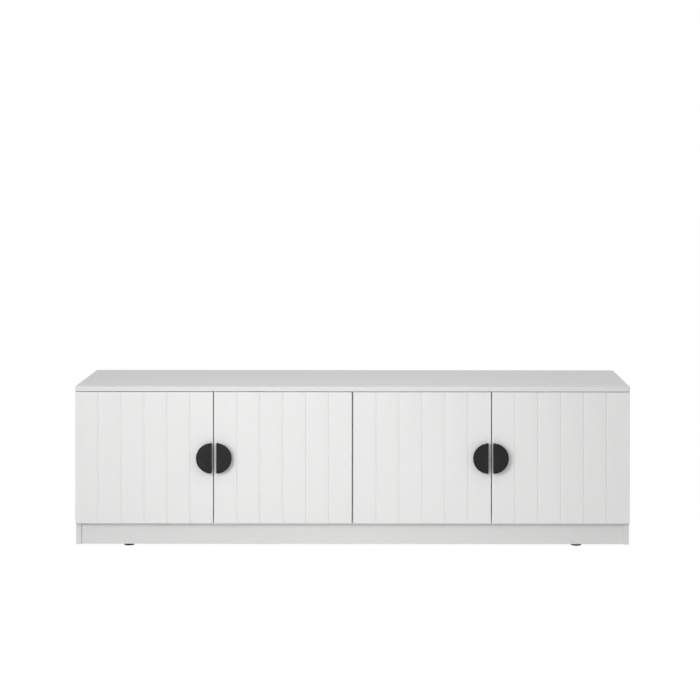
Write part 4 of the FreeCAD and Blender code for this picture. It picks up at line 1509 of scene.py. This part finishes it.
@dataclass
class LevellingFeet:
    """Four feet: ribbed pads, threaded stems with a hexagon, and their brackets."""

    names: Tuple[str, ...] = ("foot_front_left", "foot_front_right", "foot_rear_left", "foot_rear_right")
    pad_sides: int = 64
    ribs: int = 30
    rib_depth: float = 0.45 * MM
    rib_width: float = 1.5 * MM
    rib_height: float = 3.0 * MM
    rib_level: float = 0.53          # as a share of the pad's height
    rib_root: float = 0.1 * MM
    rim: Tuple[Span, ...] = ((2.4, 0.0), (1.0, 0.25), (0.15, 1.0), (0.0, 1.6))   # mm in, and mm up
    waist: float = 2.1 * MM
    crown: Tuple[Span, ...] = ((0.0, 1.4), (0.5, 0.7), (1.6, 0.4), (6.0, 0.25), (6.4, 0.0))  # in, and down
    socket_radius: float = 4.0 * MM
    socket_floor: float = 2.5 * MM
    stem_radius: float = 3.95 * MM
    stem_sides: int = 32
    stem_clear: float = 0.8 * MM     # plain length above the thread
    pitch: float = 1.25 * MM
    hexagon: Span = (4.5 * MM, 8.5 * MM)
    hexagon_corner: float = 6.5 * MM
    hexagon_chamfer: float = 0.6 * MM
    stem_round: float = 0.5 * MM
    tuck: float = 0.05 * MM
    bracket_arris: float = 0.4 * MM
    bracket_hard_turn: float = 60.0
    bracket_shortest: float = 4 * MM

    def build(self, frame: Frame, palette: Palette) -> None:
        """Make the pads, stems and brackets.

        Args:
            frame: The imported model.
            palette: The shared materials.
        """
        rib_tree = RibTree()
        for name in self.names:
            self.build_pad(frame, palette, f"{name}_pad", rib_tree)
            self.build_stem(frame, palette, f"{name}_stem")
        brackets = frame.merged("foot_brackets")
        soften(brackets, hard_edges(brackets, self.bracket_hard_turn, self.bracket_shortest),
               self.bracket_arris)
        settle(even_shading(object_from(brackets, "foot_brackets_finished", palette.black)), frame,
               "foot_brackets")

    def build_pad(self, frame: Frame, palette: Palette, node: str, rib_tree: RibTree) -> None:
        """Turn a pad with a stepped top, and join its grip ribs to it.

        Args:
            frame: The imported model.
            palette: The shared materials.
            node: The pad's node.
            rib_tree: The geometry nodes of the ribs.
        """
        low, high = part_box(node)
        outer, tall = (high.x - low.x) / 2, high.z - low.z
        body = outer - self.rib_depth
        seat = Vector(((low.x + high.x) / 2, (low.y + high.y) / 2, low.z))
        profile = [(0, 0)]
        profile += [(outer - inset * MM, up * MM) for inset, up in self.rim]
        profile += [(body, self.waist)]
        profile += [(body - inset * MM, tall - down * MM) for inset, down in self.crown]
        profile += [(self.socket_radius, tall), (self.socket_radius, self.socket_floor),
                    (0, self.socket_floor)]
        mesh = bmesh.new()
        lathe(mesh, profile, seat, UP, self.pad_sides)
        bmesh.ops.recalc_face_normals(mesh, faces=mesh.faces)
        spots, aims = [], []
        for step in range(self.ribs):
            angle = 2 * math.pi * step / self.ribs
            out = Vector((math.cos(angle), math.sin(angle), 0.0))
            spots.append(tuple(seat + out * (body - self.rib_root) + UP * (self.rib_level * tall)))
            aims.append(tuple(out))
        ribs = rib_tree.program.run(f"{node}_ribs", spots, aims, {
            "Rib width": self.rib_width, "Rib height": self.rib_height, "Rib depth": self.rib_depth,
            "Material": palette.black})
        mesh.from_mesh(ribs.data)
        bpy.data.objects.remove(ribs)
        settle(object_from(mesh, f"{node}_finished", palette.black), frame, node)

    def build_stem(self, frame: Frame, palette: Palette, node: str) -> None:
        """Turn a stem: chamfered hexagon, and a thread of close ridges above it.

        Args:
            frame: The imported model.
            palette: The shared materials.
            node: The stem's node.
        """
        low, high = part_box(node)
        seat = Vector(((low.x + high.x) / 2, (low.y + high.y) / 2, low.z))
        radius, tall = self.stem_radius, high.z - low.z
        flat_low, flat_top = self.hexagon
        height = flat_top + self.hexagon_chamfer
        outline = [(0, 0), (radius * 0.86, 0), (radius, self.stem_round), (radius, height)]
        while height + self.pitch < tall - self.stem_clear:
            outline += [(radius * 0.85, height + 0.35 * self.pitch), (radius, height + 0.9 * self.pitch),
                        (radius, height + self.pitch)]
            height += self.pitch
        outline += [(radius * 0.8, tall), (0, tall)]
        inner, corner = radius - self.tuck, self.hexagon_corner
        bevelled = corner - self.hexagon_chamfer
        sleeve = [(inner, flat_low), (bevelled, flat_low), (corner, flat_low + self.stem_round),
                  (corner, flat_top - self.stem_round), (bevelled, flat_top), (inner, flat_top)]
        mesh = bmesh.new()
        lathe(mesh, outline, seat, UP, self.stem_sides)
        lathe(mesh, sleeve, seat, UP, sides=6)
        bmesh.ops.recalc_face_normals(mesh, faces=mesh.faces)
        settle(object_from(mesh, f"{node}_finished", palette.steel), frame, node)


# ---- Studio ----------------------------------------------------------------------------------------
@dataclass(frozen=True)
class SoftLight:
    """One rectangular light: where it stands, the point it faces, its size, power and spread."""

    name: str
    at: Point
    towards: Point
    size: Span
    power: float
    spread_degrees: float = 180.0

    def build(self) -> None:
        """Add the light to the scene."""
        light = bpy.data.lights.new(self.name, "AREA")
        light.shape = "RECTANGLE"
        light.size, light.size_y = self.size
        light.energy = self.power
        light.spread = math.radians(self.spread_degrees)
        stand = bpy.data.objects.new(self.name, light)
        stand.location = self.at
        aim = Vector(self.towards) - Vector(self.at)
        stand.rotation_euler = aim.to_track_quat("-Z", "Y").to_euler()
        bpy.context.scene.collection.objects.link(stand)


@dataclass
class Studio:
    """White floor and surround, soft light from the left, and an almost level camera in front."""

    camera_at: Point = (0.1053, -5.4166, 1.2799)
    pitch_degrees: float = 0.5
    roll_degrees: float = 0.05
    lens: float = 83.007
    sensor: float = 36.0
    shift: Tuple[float, float] = (-0.0503, -0.2602)
    sight: float = 200.0
    floor_size: float = 60.0
    floor_drop: float = 0.0002
    floor_tones: Tuple[Colour, Colour] = ((0.68, 0.68, 0.68, 1.0), (0.70, 0.70, 0.70, 1.0))
    floor_clouds: float = 1.4
    floor_roughness: Span = (0.75, 0.85)
    floor_specular: float = 0.1
    floor_glow: float = 1.05
    floor_glow_share: float = 0.92
    ambient: float = 0.57
    lights: Tuple[SoftLight, ...] = (
        SoftLight("low_left_light", (-2.2, -2.6, 0.9), (0.6, -0.19, 0.28), (0.8, 0.8), 4.4, 90.0),
        SoftLight("left_light", (-1.2, -2.6, 1.6), (0.3, -0.19, 0.28), (0.8, 0.8), 6.4, 90.0),
        SoftLight("right_light", (0.5, -2.6, 1.6), (0.0, -0.19, 0.28), (0.8, 0.8), 2.7),
        SoftLight("top_light", (0.2, -1.4, 2.8), (0.0, 0.0, 0.3), (1.4, 1.0), 8.6),
    )

    def build(self) -> None:
        """Make the floor, the surround, the lights and the camera."""
        self.build_floor()
        self.build_surround()
        for light in self.lights:
            light.build()
        self.build_camera()

    def build_floor(self) -> None:
        """A wide matt floor just under the feet, white to the eye and pale grey to the light."""
        half = self.floor_size / 2
        mesh = bmesh.new()
        mesh.faces.new([mesh.verts.new((x * half, y * half, -self.floor_drop))
                        for x, y in ((-1, -1), (1, -1), (1, 1), (-1, 1))])
        sheet = MaterialSheet("pale_floor")
        clouds = sheet.noise(evenly(self.floor_clouds))
        sheet.set(Specular_IOR_Level=self.floor_specular)
        finish = sheet.finish(sheet.blend(sheet.spread(clouds, (0.0, 1.0)), *self.floor_tones),
                              sheet.spread(clouds, self.floor_roughness))
        nodes, links = sheet.tree.nodes, sheet.tree.links
        glow = nodes.new("ShaderNodeEmission")
        glow.inputs["Strength"].default_value = self.floor_glow
        seen = nodes.new("ShaderNodeLightPath").outputs["Is Camera Ray"]
        mix = nodes.new("ShaderNodeMixShader")
        links.new(sheet.math("MULTIPLY", seen, self.floor_glow_share), mix.inputs[0])
        links.new(sheet.shader.outputs[0], mix.inputs[1])
        links.new(glow.outputs[0], mix.inputs[2])
        links.new(mix.outputs[0], nodes["Material Output"].inputs[0])
        object_from(mesh, "floor", finish)

    def build_surround(self) -> None:
        """An even surround that is white behind the cabinet and dimmer as a source of light."""
        world = bpy.data.worlds.new("studio")
        bpy.context.scene.world = world
        world.use_nodes = True
        nodes, links = world.node_tree.nodes, world.node_tree.links
        surround, backdrop = nodes["Background"], nodes.new("ShaderNodeBackground")
        surround.inputs["Strength"].default_value = self.ambient
        mix = nodes.new("ShaderNodeMixShader")
        links.new(nodes.new("ShaderNodeLightPath").outputs["Is Camera Ray"], mix.inputs[0])
        for light, socket in ((surround, mix.inputs[1]), (backdrop, mix.inputs[2])):
            light.inputs["Color"].default_value = WHITE
            links.new(light.outputs[0], socket)
        links.new(mix.outputs[0], nodes["World Output"].inputs[0])
        bpy.context.scene.view_settings.view_transform = "Standard"

    def build_camera(self) -> None:
        """A nearly level camera whose shift brings the low cabinet into the frame."""
        camera = bpy.data.cameras.new("camera")
        camera.sensor_width = self.sensor
        camera.lens = self.lens
        camera.shift_x, camera.shift_y = self.shift
        camera.clip_end = self.sight
        stand = bpy.data.objects.new("camera", camera)
        stand.location = self.camera_at
        tilt = Matrix.Rotation(math.pi / 2 - math.radians(self.pitch_degrees), 3, "X")
        stand.rotation_euler = (tilt @ Matrix.Rotation(math.radians(self.roll_degrees), 3, "Z")).to_euler()
        bpy.context.scene.collection.objects.link(stand)
        bpy.context.scene.camera = stand


def main() -> None:
    """Build the cabinet round its frame, piece by piece."""
    logging.basicConfig(level=logging.INFO, format="%(name)s: %(message)s")
    frame = Frame(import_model())
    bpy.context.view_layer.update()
    palette = Palette()
    Studio().build()
    Carcass().build(frame)
    for number in (1, 2, 3, 4):
        DoorLeaf(number).build(frame, palette)
    HingeSteel().build(frame, palette)
    JointFittings().build(frame, palette)
    Fasteners().build(frame, palette)
    LevellingFeet().build(frame, palette)
    bpy.context.view_layer.update()


if __name__ == "__main__":
    main()
